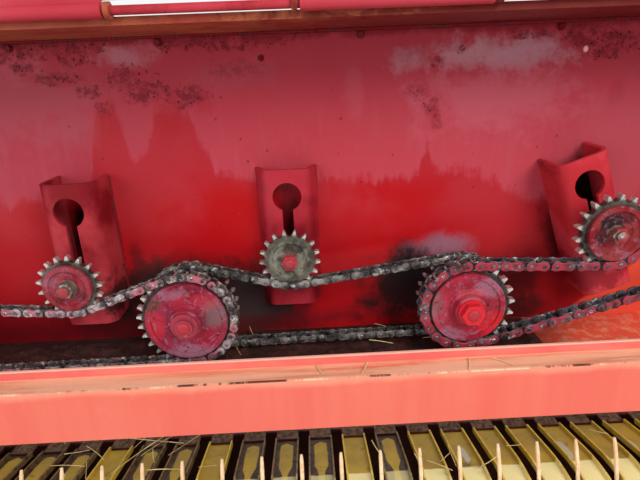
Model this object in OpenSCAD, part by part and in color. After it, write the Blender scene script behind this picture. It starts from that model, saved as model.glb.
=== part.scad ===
// Front end of a square baler: the feeder drive wall with its roller chains, keyhole
// tensioner brackets and raised shield, over the tined pickup. X is to the right as seen
// from the front, Y into the machine, Z up from the ground under the skids.

/* [Frame] */
// Clear width between the side plates
inner_w = 1640; // [1600:1:1900]
// Thickness of each side plate
side_t = 6; // [4:1:12]
// Rear edge of the side plates, behind the origin
rear_y = 390; // [360:1:450]
// Front edge of the side plates, before the origin
front_y = -390; // [-420:1:-388]
// Width of a skid shoe
skid_w = 60; // [40:1:90]
// Thickness of a skid shoe
skid_t = 8; // [6:1:12]

/* [Drive wall] */
// Front face of the wall
wall_y = 60; // [50:1:70]
// Thickness of the wall sheet
wall_t = 4; // [3:0.5:6]
// Foot of the wall, where it meets the trough
wall_foot_z = 758; // [740:1:775]
// Top of the wall, where it meets the ledge
wall_top_z = 1249; // [1240:1:1270]
// Diameter of the sight hole in the wall
sight_hole_d = 10; // [6:1:16]

/* [Trough, beam and ledge] */
// Thickness of these bent sheets
sheet_t = 4; // [3:0.5:5]
// Front face of the trough's lip
lip_y = -84; // [-90:1:-82]
// Height of the lip's top edge
lip_z = 790; // [785:1:800]
// Depth of the beam in front of the lip
beam_depth = 36; // [30:1:50]
// Top of the beam
beam_top_z = 776; // [770:1:780]
// Height of the beam's front face
beam_h = 86; // [60:1:120]
// Front edge of the top ledge
ledge_y = -130; // [-140:1:-125]
// Height of the ledge's upturned lip
ledge_lip_h = 9; // [6:1:12]

/* [Shield] */
// Diameter of the hinge rod
rod_d = 10; // [8:0.5:14]
// Thickness of the shield sheet
shield_t = 3; // [2:0.5:4]
// Length of the shield from its hinge rod to its free edge
shield_h = 515; // [480:1:520]
// How far the raised shield leans back from upright, in degrees
shield_lean = 12; // [5:1:20]
// Length of each light slot along the hinge
slot_len = 211; // [150:1:240]
// Height of each light slot
slot_h = 6; // [4:0.5:10]

/* [Drive sprockets] */
// Place of the left shaft
left_x = -192; // [-200:1:-185]
// Place of the right shaft
right_x = 233; // [228:1:240]
// Height of both shafts
drive_z = 845; // [840:1:850]
// Distance from the wall to the back row of teeth
back_row_gap = 65; // [60:1:70]
// Distance between the two rows of teeth
row_gap = 43; // [38:1:50]
// Diameter of the drive shafts
shaft_d = 35; // [25:1:40]
// Diameter of the barrel between the rows
barrel_d = 80; // [60:1:90]
// Diameter of the hub in front of a disc
hub_d = 48; // [40:1:60]
// How far the hub stands out of the disc
hub_h = 12; // [8:1:16]
// Thickness of the disc on the front row
disc_t = 6; // [4:1:8]
// Teeth of the left front row
teeth_left_front = 28; // [26:1:30]
// Teeth of the left back row
teeth_left_back = 27; // [24:1:28]
// Teeth of the right front row
teeth_right_front = 22; // [20:1:24]
// Teeth of the right back row
teeth_right_back = 25; // [23:1:27]
// Teeth of an idler
teeth_idler = 17; // [15:1:19]

/* [End sprockets] */
// Distance of the left end shaft from the side plate
end_left_in = 184; // [160:1:200]
// Height of the left end shaft
end_left_z = 830; // [820:1:845]
// Teeth of the left end sprocket
teeth_end_left = 23; // [21:1:25]
// Distance of the right end shaft from the side plate
end_right_in = 110; // [105:1:130]
// Height of the right end shaft
end_right_z = 1001; // [990:1:1010]
// Teeth of the right end sprocket
teeth_end_right = 29; // [27:1:31]

/* [Light chain] */
// Pitch of the light chain
pitch_a = 15.875; // [15.875:0.001:15.875]
// Diameter of its rollers
roller_a = 10.16; // [9.8:0.01:10.3]
// Height of its link plates
plate_h_a = 15; // [13:0.5:15]
// Clear width between its plates
inner_a = 9.8; // [9.6:0.1:10.4]
// Thickness of the two plates on one side together
plates_a = 4.2; // [3.5:0.1:4.5]

/* [Heavy chain] */
// Pitch of the heavy chain
pitch_b = 19.05; // [19.05:0.001:19.05]
// Diameter of its rollers
roller_b = 11.9; // [11.5:0.01:12.0]
// Height of its link plates
plate_h_b = 18; // [16:0.5:18]
// Clear width between its plates
inner_b = 12.9; // [12.7:0.1:13.4]
// Thickness of the two plates on one side together
plates_b = 4.9; // [4:0.1:5.2]

/* [Tensioner brackets] */
// Width of a bracket's front face over its bends
bracket_w = 80; // [75:1:90]
// Length of a bracket
bracket_l = 227; // [220:1:240]
// Thickness of its plate
bracket_t = 6; // [4:0.5:8]
// Outer radius of its bends
bracket_r = 18; // [14:1:22]
// How far the two deep brackets stand out from the wall
deep_h = 70; // [66:1:74]
// How far the middle bracket stands out from the wall
shallow_h = 34; // [30:1:38]
// Distance from a bracket's top edge to its round hole
keyhole_drop = 43; // [38:1:48]
// Diameter of the round hole
keyhole_d = 45; // [40:1:48]
// Width of the slot
slot_w = 17; // [16.6:0.1:20]
// Length of the slot from the round hole's centre to its end
slot_l = 145; // [140:1:150]
// Place of the left round hole
key_left_x = -355; // [-360:1:-350]
// Place of the middle round hole
key_mid_x = -34; // [-40:1:-30]
// Place of the right round hole
key_right_x = 421; // [416:1:426]
// Height of the left and middle round holes
key_z = 1008; // [1004:1:1012]
// Height of the right round hole
key_right_z = 1014.6; // [1010:0.1:1018]
// Turn of the right bracket, in degrees
right_tilt = 18.5; // [15:0.5:22]

/* [Idlers] */
// Diameter of the idler bolts
idler_bolt_d = 16; // [12:1:16]
// Nominal distance of the left idler down its slot
idler_left_t = 99; // [90:1:110]
// Nominal distance of the middle idler down its slot
idler_mid_t = 88; // [80:1:100]
// Nominal distance of the right idler down its slot
idler_right_t = 61; // [55:1:75]
// Gap between an idler's cap and the link plates round it
cap_gap = 1.2; // [1:0.1:4]

/* [Pickup] */
// Height of the reel's axis
reel_z = 318; // [312:1:330]
// Place of the reel's axis
reel_y = -115; // [-118:1:-112]
// Radius of the tine tips
tine_r = 277; // [262:1:278]
// Diameter of a tine
tine_d = 7; // [5:0.5:8]
// Number of tine bars
bar_count = 4; // [3:1:6]
// Gap between the tines' coils and the bands
band_clear = 8; // [6:1:20]
// Diameter of a tine bar
bar_d = 26; // [20:1:30]
// Wall of the reel's tubes
reel_wall = 4; // [3:0.5:6]
// Length of a stub shaft
stub_l = 130; // [100:1:130]
// Diameter of the reel's tube
reel_tube_d = 60; // [50:1:76]
// Diameter of the reel's stub shafts
stub_d = 30; // [20:1:35]
// Turn of the reel at rest, in degrees
reel_phase = 13; // [0:1:40]
// Distance from band to band
band_pitch = 66; // [60:1:75]
// Width of a stripper band
band_w = 46; // [36:1:48]
// Height of a band's upturned edges
band_flange = 8; // [5:1:12]
// Thickness of a band
band_t = 3; // [2:0.5:4]
// Radius of the bands over the reel
band_r = 228; // [220:1:235]
// How far the bands' centre lies behind the reel's axis
band_back = 55; // [50:1:58]
// How far the bands' centre lies below the reel's axis
band_down = 28; // [20:1:30]
// Slope of the bands' straight rear ends, in degrees
band_slope = 12; // [8:1:15]
// Length of the bands behind the reel's axis
band_reach = 199; // [190:1:205]
// Gap between the tine tips and the sheet behind the reel
back_gap = 18; // [14:1:30]

/* [Hidden] */
$fn = 48;

red = "firebrick";
steel = "slategray";
yellow = "goldenrod";
seat = 0.3;        // gap of pieces that seat on a round or loose fit
fit = 0.05;        // radial clearance of a shaft in its bore
cut = 1;           // how far a cutting shape passes a face
half_w = inner_w / 2;
end_left_x = -half_w + end_left_in;
end_right_x = half_w - end_right_in;
back_row_y = wall_y - back_row_gap;
front_row_y = back_row_y - row_gap;
tooth_side = 0.4;  // gap between a tooth's side and the link plates
tooth_w_a = inner_a - 2 * tooth_side;
tooth_w_b = inner_b - 2 * tooth_side;
hinge_z = wall_top_z + ledge_lip_h + rod_d / 2 + seat;
hinge_front = 8;   // how far the rod lies before the ledge's edge
hinge_y = ledge_y - hinge_front;

// Columns of a chain type: pitch, roller diameter, plate height, clear width, plates' thickness
light = [pitch_a, roller_a, plate_h_a, inner_a, plates_a];
heavy = [pitch_b, roller_b, plate_h_b, inner_b, plates_b];

// Radius of the pitch circle and of the tooth tips
function pitch_r(teeth, p) = p / sin(180 / teeth) / 2;
function tip_r(teeth, p) = p * (0.6 + 1 / tan(180 / teeth)) / 2;

// A point down a bracket's slot, from the round hole's centre
function down_slot(x, z, tilt, t) = [x + t * sin(tilt), z - t * cos(tilt)];

// Each wheel of a chain is [x, z, teeth, way], where way is 1 for a wheel inside the loop and
// -1 for an idler that presses on it from outside. The chain runs anticlockwise.
function span_v(a, b) = [b[0] - a[0], b[1] - a[1]];
function run_angle(a, b, p) =
    let (v = span_v(a, b))
    atan2(v[1], v[0]) - asin((b[3] * pitch_r(b[2], p) - a[3] * pitch_r(a[2], p)) / norm(v));
function run_length(a, b, p) =
    let (v = span_v(a, b), d = b[3] * pitch_r(b[2], p) - a[3] * pitch_r(a[2], p))
    sqrt(v * v - d * d);
function wrap(angle) = angle - 360 * floor(angle / 360);
function next(w, i) = w[(i + 1) % len(w)];
function before(w, i) = w[(i + len(w) - 1) % len(w)];
function angle_in(w, i, p) = run_angle(before(w, i), w[i], p);
function angle_out(w, i, p) = run_angle(w[i], next(w, i), p);
function arc_sweep(w, i, p) =
    w[i][3] > 0 ? wrap(angle_out(w, i, p) - angle_in(w, i, p))
                : wrap(angle_in(w, i, p) - angle_out(w, i, p));
// Where the chain first touches a wheel, as an angle round the wheel
function arc_start(w, i, p) = angle_in(w, i, p) - w[i][3] * 90;
function arc_pitches(w, i, p) = arc_sweep(w, i, p) * w[i][2] / 360;
function run_pitches(w, i, p) = run_length(w[i], next(w, i), p) / p;
function pitches_before(w, i, p) =
    i == 0 ? 0 : pitches_before(w, i - 1, p) + arc_pitches(w, i - 1, p) + run_pitches(w, i - 1, p);
function loop_pitches(w, p) = pitches_before(w, len(w) - 1, p)
    + arc_pitches(w, len(w) - 1, p) + run_pitches(w, len(w) - 1, p);

// A wheel list with its idler (wheel 1) at the distance t down the slot [x, z, tilt]
function with_idler(w, slot, t) =
    [for (i = [0:len(w) - 1])
        i == 1 ? concat(down_slot(slot[0], slot[1], slot[2], t), [w[i][2], -1]) : w[i]];
function excess(w, slot, t, p, links) = loop_pitches(with_idler(w, slot, t), p) - links;
// The idler is slid down its slot until the chain is tight with a whole, even number of links
function tighten(w, slot, p, links, lo, hi, turn) =
    let (mid = (lo + hi) / 2)
    turn == 0 ? mid
    : excess(w, slot, mid, p, links) > 0 ? tighten(w, slot, p, links, lo, mid, turn - 1)
    : tighten(w, slot, p, links, mid, hi, turn - 1);
take_up = 45;      // travel searched on either side of the nominal place
function even_links(w, slot, t, p) = 2 * round(loop_pitches(with_idler(w, slot, t), p) / 2);
function tight_wheels(w, slot, t, p) =
    with_idler(w, slot, tighten(w, slot, p, even_links(w, slot, t, p), t - take_up, t + take_up, 30));

slot_left = [key_left_x, key_z, 0];
slot_mid = [key_mid_x, key_z, 0];
slot_right = [key_right_x, key_right_z, right_tilt];
idler = [0, 0, teeth_idler, -1];
wheels_left = tight_wheels(
    [[left_x, drive_z, teeth_left_front, 1], idler, [end_left_x, end_left_z, teeth_end_left, 1]],
    slot_left, idler_left_t, pitch_a);
wheels_mid = tight_wheels(
    [[right_x, drive_z, teeth_right_back, 1], idler, [left_x, drive_z, teeth_left_back, 1]],
    slot_mid, idler_mid_t, pitch_a);
wheels_right = tight_wheels(
    [[end_right_x, end_right_z, teeth_end_right, 1], idler, [right_x, drive_z, teeth_right_front, 1]],
    slot_right, idler_right_t, pitch_b);
idler_left_at = [wheels_left[1][0], wheels_left[1][1]];
idler_mid_at = [wheels_mid[1][0], wheels_mid[1][1]];
idler_right_at = [wheels_right[1][0], wheels_right[1][1]];

function on_circle(c, r, a) = [c[0] + r * cos(a), c[1] + r * sin(a)];
// Place and heading of the chain at s pitches from where it meets wheel 0, shifted out by "out"
function chain_at(w, p, s, out, i = 0) =
    let (arc = arc_pitches(w, i, p), run = run_pitches(w, i, p), r = pitch_r(w[i][2], p), way = w[i][3])
    s <= arc || i >= len(w) ? on_circle(w[i], r + way * out, arc_start(w, i, p) + way * s * 360 / w[i][2])
    : s <= arc + run ?
        let (a = angle_out(w, i, p), from = on_circle(w[i], r + way * out, a - way * 90), d = (s - arc) * p)
        [from[0] + d * cos(a), from[1] + d * sin(a)]
    : chain_at(w, p, s - arc - run, out, i + 1);
// Angle of a tooth gap on wheel i that a roller sits in
function gap_angle(w, i, p) =
    let (s = pitches_before(w, i, p))
    arc_start(w, i, p) + w[i][3] * (ceil(s) - s) * 360 / w[i][2];
// The chain's outline, shifted out by "out", with one point a pitch on the wheels and none on the runs
function outline(w, p, out) =
    [for (i = [0:len(w) - 1])
        let (n = max(2, ceil(arc_pitches(w, i, p))), r = pitch_r(w[i][2], p), way = w[i][3])
        for (k = [0:n])
            on_circle(w[i], r + way * out, arc_start(w, i, p) + way * arc_sweep(w, i, p) * k / n)];

// Turns a drawing in X and Z (seen from the front) into a solid from y0 back to y1
module stand(y0, y1) {
    translate([0, y1, 0]) rotate([90, 0, 0]) linear_extrude(height = y1 - y0) children();
}
// Turns a drawing in Y and Z (seen from the right) into a solid from x0 to x1
module along_x(x0, x1) {
    translate([x0, 0, 0]) rotate([90, 0, 90]) linear_extrude(height = x1 - x0) children();
}
module rod_y(x, z, y0, y1, d) {
    translate([x, y0, z]) rotate([-90, 0, 0]) cylinder(h = y1 - y0, d = d);
}
module rod_x(y, z, x0, x1, d) {
    translate([x0, y, z]) rotate([0, 90, 0]) cylinder(h = x1 - x0, d = d);
}
module ring_x(y, z, x0, x1, d, bore) {
    translate([x0, y, z]) rotate([0, 90, 0]) difference() {
        cylinder(h = x1 - x0, d = d);
        translate([0, 0, -1]) cylinder(h = x1 - x0 + 2, d = bore);
    }
}

// Sprockets

// One gap and one tooth tip, from the roller's seat out to the tip
seat_play = 0.25;
tip_flat = 1.4;
function tooth_points(teeth, p, roller, turn) =
    let (r = pitch_r(teeth, p), rs = roller / 2 + seat_play, rt = tip_r(teeth, p),
         half = 180 / teeth, flat = asin(tip_flat / rt))
    [for (k = [0:teeth - 1])
        let (a = turn + k * 360 / teeth)
        for (q = concat(
            [on_circle([0, 0], rt, -half + flat)],
            [for (b = [-60, -22, 22, 60]) [r - rs * cos(b), rs * sin(b)]],
            [on_circle([0, 0], rt, half - flat)]))
            [q[0] * cos(a) - q[1] * sin(a), q[0] * sin(a) + q[1] * cos(a)]];
module toothed_plate(at, y, width, teeth, type, turn) {
    stand(y - width / 2, y + width / 2)
        translate(at) polygon(tooth_points(teeth, type[0], type[1], turn));
}
// A row of teeth on wheel i of a chain, in mesh with its rollers
module chain_row(w, i, y, width, type) {
    toothed_plate([w[i][0], w[i][1]], y, width, w[i][2], type, gap_angle(w, i, type[0]));
}

rear_collar_l = 25;
rear_collar_d = 65;
module drive_sprocket(x, w_front, i_front, type_front, w_back, i_back, front_w) {
    color(steel) difference() {
        union() {
            chain_row(w_front, i_front, front_row_y, front_w, type_front);
            chain_row(w_back, i_back, back_row_y, tooth_w_a, light);
            rod_y(x, drive_z, front_row_y, back_row_y, barrel_d);
            rod_y(x, drive_z, back_row_y, back_row_y + rear_collar_l, rear_collar_d);
        }
        rod_y(x, drive_z, front_row_y - front_w, back_row_y + rear_collar_l + cut, shaft_d + 2 * fit);
    }
}
module drive_sprocket_left() {
    drive_sprocket(left_x, wheels_left, 0, light, wheels_mid, 2, tooth_w_a);
}
module drive_sprocket_right() {
    drive_sprocket(right_x, wheels_right, 2, heavy, wheels_mid, 0, tooth_w_b);
}

disc_gap = 2;      // gap between a disc's rim and the link plates round it
function disc_r(teeth, type) = pitch_r(teeth, type[0]) - type[2] / 2 - disc_gap;
recess_depth = 2;
recess_rim = 8;    // flat left outside the recess
recess_hub = 5;    // flat left round the hub
module sprocket_disc(x, teeth, type, width) {
    face_y = front_row_y - width / 2;
    disc_face_y = face_y - disc_t;
    color(red) difference() {
        union() {
            rod_y(x, drive_z, disc_face_y, face_y, 2 * disc_r(teeth, type));
            rod_y(x, drive_z, disc_face_y - hub_h, face_y, hub_d);
        }
        rod_y(x, drive_z, disc_face_y - hub_h - cut, face_y + cut, shaft_d + 2 * fit);
        // Shallow pressed recess round the hub
        difference() {
            rod_y(x, drive_z, disc_face_y - cut, disc_face_y + recess_depth, 2 * (disc_r(teeth, type) - recess_rim));
            rod_y(x, drive_z, disc_face_y - 2 * cut, disc_face_y + recess_depth + cut, hub_d + 2 * recess_hub);
        }
    }
}
module sprocket_disc_left() { sprocket_disc(left_x, teeth_left_front, light, tooth_w_a); }
module sprocket_disc_right() { sprocket_disc(right_x, teeth_right_front, heavy, tooth_w_b); }

washer_d = 40;
washer_t = 3;
rear_stub_d = 30;
rear_stub_l = 60;
// Shaft through the wall, with its end washer and bolt in front
module drive_shaft(x, width, head_d, head_h, sides) {
    face_y = front_row_y - width / 2 - disc_t - hub_h;
    color(steel) {
        rod_y(x, drive_z, face_y, trough_rear_y, shaft_d);
        rod_y(x, drive_z, trough_rear_y, trough_rear_y + rear_stub_l, rear_stub_d);
        rod_y(x, drive_z, face_y - washer_t, face_y, washer_d);
        translate([x, face_y - washer_t - head_h, drive_z]) rotate([-90, 0, 0])
            cylinder(h = head_h, d = head_d, $fn = sides);
    }
}
// The left shaft ends in a round head, the right one in a hexagon
round_head_d = 26;
round_head_h = 6;
hex_head_d = 35;
hex_head_h = 10;
module drive_shaft_left() { drive_shaft(left_x, tooth_w_a, round_head_d, round_head_h, $fn); }
module drive_shaft_right() { drive_shaft(right_x, tooth_w_b, hex_head_d, hex_head_h, 6); }

bearing_d = 90;
bearing_flange = 120;
bearing_t = 12;
bearing_l = 34;
// Places of the shafts that pass through the wall: x, z
shaft_places = [[left_x, drive_z], [right_x, drive_z], [end_left_x, end_left_z], [end_right_x, end_right_z]];
module flange_bearing(x, z) {
    y0 = wall_y + wall_t;
    difference() {
        union() {
            stand(y0, y0 + bearing_t) translate([x, z]) square(bearing_flange, center = true);
            rod_y(x, z, y0, y0 + bearing_l, bearing_d);
        }
        rod_y(x, z, y0 - cut, y0 + bearing_l + cut, shaft_d + 2 * fit);
    }
}
module shaft_bearings() {
    color(steel) for (s = shaft_places) flange_bearing(s[0], s[1]);
}

end_hub_front = 22;
end_hub_rear = 30;
end_washer_t = 3;
end_washer_step = 6;
module end_sprocket(w, i, type, width) {
    x = w[i][0];
    z = w[i][1];
    color(steel) difference() {
        union() {
            chain_row(w, i, front_row_y, width, type);
            rod_y(x, z, front_row_y - end_hub_front, front_row_y + end_hub_rear, barrel_d);
        }
        rod_y(x, z, front_row_y - end_hub_front - cut, front_row_y + end_hub_rear + cut, shaft_d + 2 * fit);
    }
}
module end_sprocket_left() { end_sprocket(wheels_left, 2, light, tooth_w_a); }
module end_sprocket_right() { end_sprocket(wheels_right, 0, heavy, tooth_w_b); }
module end_shaft(x, z) {
    color(steel) {
        rod_y(x, z, front_row_y - end_hub_front, trough_rear_y, shaft_d);
        rod_y(x, z, front_row_y - end_hub_front - end_washer_t, front_row_y - end_hub_front,
            shaft_d + 2 * end_washer_step);
    }
}
module end_shaft_left() { end_shaft(end_left_x, end_left_z); }
module end_shaft_right() { end_shaft(end_right_x, end_right_z); }

// Chains: two side bands of link plates, with a six-sided roller at every pin

module chain(w, y, type) {
    p = type[0];
    links = round(loop_pitches(w, p));
    band = type[4];
    color(steel) {
        for (side = [-1, 1])
            stand(y + side * (type[3] + band) / 2 - band / 2, y + side * (type[3] + band) / 2 + band / 2)
                difference() {
                    polygon(outline(w, p, type[2] / 2));
                    polygon(outline(w, p, -type[2] / 2));
                }
        for (k = [0:links - 1])
            let (c = chain_at(w, p, k, 0))
                translate([c[0], y - type[3] / 2 + seat, c[1]]) rotate([-90, 0, 0])
                    cylinder(h = type[3] - 2 * seat, d = type[1], $fn = 6);
    }
}
module chain_left() { chain(wheels_left, front_row_y, light); }
module chain_middle() { chain(wheels_mid, back_row_y, light); }
module chain_right() { chain(wheels_right, front_row_y, heavy); }

// Tensioner brackets

// Cross-section of a bent channel in X and Y, open towards the wall
module channel_section(width, depth, r, foot) {
    difference() {
        bent_outline(width, depth, r, foot);
        bent_outline(width - 2 * bracket_t, depth - bracket_t, max(r - bracket_t, 1), foot);
    }
}
// foot is how much wider the channel is at the wall, on each side
module bent_outline(width, depth, r, foot) {
    hull() {
        for (side = [-1, 1]) {
            translate([side * (width / 2 - r), wall_y - depth + r]) circle(r, $fn = 32);
            translate([side * (width / 2 + foot) - (side > 0 ? 1 : 0), wall_y - 1]) square(1);
        }
    }
}
module keyhole(y0, y1) {
    stand(y0, y1) {
        translate([0, bracket_l - keyhole_drop]) circle(d = keyhole_d);
        translate([-slot_w / 2, bracket_l - keyhole_drop - slot_l + slot_w / 2])
            square([slot_w, slot_l - slot_w / 2]);
        translate([0, bracket_l - keyhole_drop - slot_l + slot_w / 2]) circle(d = slot_w);
    }
}
module bracket(x, z, tilt, depth, r, foot) {
    color(red) translate([x, 0, z]) rotate([0, -tilt, 0]) translate([0, 0, keyhole_drop - bracket_l])
        difference() {
            linear_extrude(height = bracket_l) channel_section(bracket_w, depth, r, foot);
            keyhole(wall_y - depth - 1, wall_y - depth + r);
        }
}
shallow_r = 14;
shallow_foot = 9;
module bracket_left() { bracket(key_left_x, key_z, 0, deep_h, bracket_r, 0); }
module bracket_middle() { bracket(key_mid_x, key_z, 0, shallow_h, shallow_r, shallow_foot); }
module bracket_right() { bracket(key_right_x, key_right_z, right_tilt, deep_h, bracket_r, 0); }

// Idlers: wheel, pressed cap, and bolt with its spacer

idler_hub_d = 44;
idler_boss = 4;    // how far the hub stands out on either side
idler_boss_d = 52;
module idler_wheel(w, y, width, type) {
    x = w[1][0];
    z = w[1][1];
    color(steel) difference() {
        union() {
            chain_row(w, 1, y, width, type);
            rod_y(x, z, y - width / 2 - idler_boss, y + width / 2 + idler_boss, idler_boss_d);
        }
        rod_y(x, z, y - width, y + width, idler_bolt_d + 2 * fit);
    }
}
module idler_left() { idler_wheel(wheels_left, front_row_y, tooth_w_a, light); }
module idler_middle() { idler_wheel(wheels_mid, back_row_y, tooth_w_a, light); }
module idler_right() { idler_wheel(wheels_right, front_row_y, tooth_w_b, heavy); }

cap_depth = 9;
cap_foot = 0.2;    // gap to the wheel's side
cap_rim = 7;
cap_step = 3;
cap_hole_d = 26;
// Dished dust cap: a rim, a step inwards and an inner ring round the bolt
module idler_cap(at, y, width, type) {
    d = 2 * (pitch_r(teeth_idler, type[0]) - type[2] / 2 - cap_gap);
    face_y = y - width / 2;
    color(red) translate([at[0], face_y, at[1]]) rotate([90, 0, 0])
        rotate_extrude() polygon([
            [idler_boss_d / 2 + seat, cap_foot], [d / 2 - 2, cap_foot], [d / 2, 2], [d / 2, cap_depth - 1],
            [d / 2 - 1, cap_depth], [d / 2 - cap_rim, cap_depth], [d / 2 - cap_rim - 2, cap_depth - cap_step],
            [idler_hub_d / 2 + 2, cap_depth - cap_step], [idler_hub_d / 2, cap_depth - 1.5 * cap_step],
            [cap_hole_d / 2, cap_depth - 1.5 * cap_step], [cap_hole_d / 2, idler_boss + seat],
            [idler_boss_d / 2 + seat, idler_boss + seat]
        ]);
}
module idler_cap_left() { idler_cap(idler_left_at, front_row_y, tooth_w_a, light); }
module idler_cap_right() { idler_cap(idler_right_at, front_row_y, tooth_w_b, heavy); }

nut_d = 24;
nut_h = 13;
bolt_head_d = 30;
spacer_d = 32;
bolt_head_h = 10;
// Bolt from behind the bracket's face through the idler, with a spacer tube and a nut in front
module idler_bolt(at, y, width, depth, tail) {
    face_y = wall_y - depth;
    front = y - width / 2 - idler_boss;
    back = y + width / 2 + idler_boss;
    color(steel) {
        rod_y(at[0], at[1], front - nut_h - tail, face_y + bracket_t, idler_bolt_d);
        rod_y(at[0], at[1], back, face_y, spacer_d);
        rod_y(at[0], at[1], face_y + bracket_t, face_y + bracket_t + washer_t, spacer_d);
        translate([at[0], face_y + bracket_t + washer_t, at[1]]) rotate([-90, 0, 0])
            cylinder(h = bolt_head_h, d = bolt_head_d, $fn = 6);
        translate([at[0], front - nut_h, at[1]]) rotate([-90, 0, 0])
            cylinder(h = nut_h, d = nut_d, $fn = 6);
    }
}
module idler_bolt_left() { idler_bolt(idler_left_at, front_row_y, tooth_w_a, deep_h, 4); }
module idler_bolt_middle() { idler_bolt(idler_mid_at, back_row_y, tooth_w_a, shallow_h, 2); }
module idler_bolt_right() { idler_bolt(idler_right_at, front_row_y, tooth_w_b, deep_h, 4); }

// Wall, trough, beam and ledge

wall_hole_d = 52;
sight_left = 27;   // sight hole from the middle keyhole
sight_drop = 36;   // sight hole from the ledge
module front_wall() {
    color(red) difference() {
        stand(wall_y, wall_y + wall_t)
            translate([-half_w, wall_foot_z]) square([inner_w, wall_top_z - wall_foot_z]);
        for (s = shaft_places) rod_y(s[0], s[1], wall_y - cut, wall_y + wall_t + cut, wall_hole_d);
        rod_y(key_mid_x - sight_left, wall_top_z - sight_drop, wall_y - cut, wall_y + wall_t + cut, sight_hole_d);
    }
}

rib_w = 50;
rib_depth = 30;
rib_gap = 17;      // gap between a rib and a bearing's flange
rib_off = (bearing_flange + rib_w) / 2 + rib_gap;
rib_in = 80;       // first rib from the side plate
rib_places = [-half_w + rib_in, end_left_x + rib_off, left_x + rib_off, right_x - rib_off, right_x + rib_off,
    end_right_x - rib_off];
rib_t = 3;
// Hat-section stiffeners behind the wall
module wall_ribs() {
    color(red) for (x = rib_places) translate([x, wall_y + wall_t, wall_foot_z])
        linear_extrude(height = wall_top_z - wall_foot_z) difference() {
            translate([-rib_w / 2, 0]) square([rib_w, rib_depth]);
            translate([-rib_w / 2 + rib_t, -cut]) square([rib_w - 2 * rib_t, rib_depth - rib_t + cut]);
        }
}

rear_reach = 60;   // how far the trough and the ledge run on behind the wall
trough_rear_y = wall_y + wall_t + rear_reach;
module trough_sheet() {
    color(red) along_x(-half_w, half_w) polygon([
        [lip_y, lip_z], [lip_y, wall_foot_z - sheet_t], [trough_rear_y, wall_foot_z - sheet_t],
        [trough_rear_y, wall_foot_z], [lip_y + sheet_t, wall_foot_z], [lip_y + sheet_t, lip_z]
    ]);
}

beam_y = lip_y - beam_depth;
beam_foot_z = beam_top_z - beam_h;
module front_beam() {
    color(red) along_x(-half_w, half_w) polygon([
        [lip_y, beam_top_z], [beam_y, beam_top_z], [beam_y, beam_foot_z], [lip_y, beam_foot_z],
        [lip_y, beam_foot_z + sheet_t], [beam_y + sheet_t, beam_foot_z + sheet_t],
        [beam_y + sheet_t, beam_top_z - sheet_t], [lip_y, beam_top_z - sheet_t]
    ]);
}

ledge_rear_y = wall_y + wall_t + rear_reach;
module top_ledge() {
    color(red) along_x(-half_w, half_w) polygon([
        [ledge_y, wall_top_z + ledge_lip_h], [ledge_y, wall_top_z], [ledge_rear_y, wall_top_z],
        [ledge_rear_y, wall_top_z + sheet_t], [ledge_y + sheet_t, wall_top_z + sheet_t],
        [ledge_y + sheet_t, wall_top_z + ledge_lip_h]
    ]);
    // Ears that carry the hinge rod at the ends of the light slots
    color(red) for (span = slot_spans) {
        hinge_ear(span[0] + ear_gap);
        hinge_ear(span[1] - ear_gap - ear_t);
    }
}
ear_t = 6;
ear_gap = 3;
ear_r = rod_d / 2 + 4;
module hinge_ear(x) {
    difference() {
        union() {
            rod_x(hinge_y, hinge_z, x, x + ear_t, 2 * ear_r);
            along_x(x, x + ear_t) translate([hinge_y, hinge_z - ear_r + 1])
                square([hinge_front, ear_r - 1]);
        }
        rod_x(hinge_y, hinge_z, x - 1, x + ear_t + 1, rod_d + 2 * fit);
    }
}

tube_w = 60;
tube_t = 4;
tube_y = rear_y - tube_w / 2 - 10;
low_tube_z = 110;
// Square tubes that tie the side plates together at the back
module rear_cross_tubes() {
    for (z = [wall_top_z - tube_w / 2, floor_rear_z - tube_w / 2, low_tube_z])
        color(red) along_x(-half_w, half_w) translate([tube_y, z]) difference() {
            square(tube_w, center = true);
            square(tube_w - 2 * tube_t, center = true);
        }
}

// Side plate: an upright over the whole height and a rounded cheek beside the pickup
side_top_z = wall_top_z + ledge_lip_h + rod_d + 16;
cheek_r = 270;
side_corner_r = 20;
side_front_y = hinge_y - 22;
side_foot_z = skid_t;
module side_outline() {
    hull() {
        translate([front_y + cheek_r, side_foot_z + cheek_r + 20]) circle(cheek_r, $fn = 64);
        translate([front_y + cheek_r, side_foot_z]) square([20, 20]);
        translate([rear_y - 20, side_foot_z]) square([20, 20]);
        translate([rear_y - 20, 560]) square([20, 20]);
    }
    translate([beam_y - 20, 400]) square([rear_y - beam_y + 20, side_top_z - 400 - 40]);
    hull() {
        translate([side_front_y + side_corner_r, side_top_z - side_corner_r]) circle(side_corner_r, $fn = 32);
        translate([rear_y - side_corner_r, side_top_z - side_corner_r]) circle(side_corner_r, $fn = 32);
        translate([side_front_y, side_top_z - 180]) square([rear_y - side_front_y, 20]);
    }
}
module side_plate(x0) {
    color(red) difference() {
        along_x(x0, x0 + side_t) side_outline();
        rod_x(reel_y, reel_z, x0 - 1, x0 + side_t + 1, stub_d + 12);
        rod_x(hinge_y, hinge_z, x0 - 1, x0 + side_t + 1, rod_d + 2 * fit);
        for (z = [mount_z - mount_dz / 2, mount_z + mount_dz / 2])
            for (y = [mount_y - mount_dy / 2, mount_y + mount_dy / 2])
                rod_x(y, z, x0 - 1, x0 + side_t + 1, mount_hole_d);
    }
}
// Four bolt holes in each side plate, for the machine's main frame
mount_y = rear_y - 70;
mount_z = 600;
mount_dy = 80;
mount_dz = 120;
mount_hole_d = 17.5;
module side_plate_left() { side_plate(-half_w - side_t); }
module side_plate_right() { side_plate(half_w); }

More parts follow.
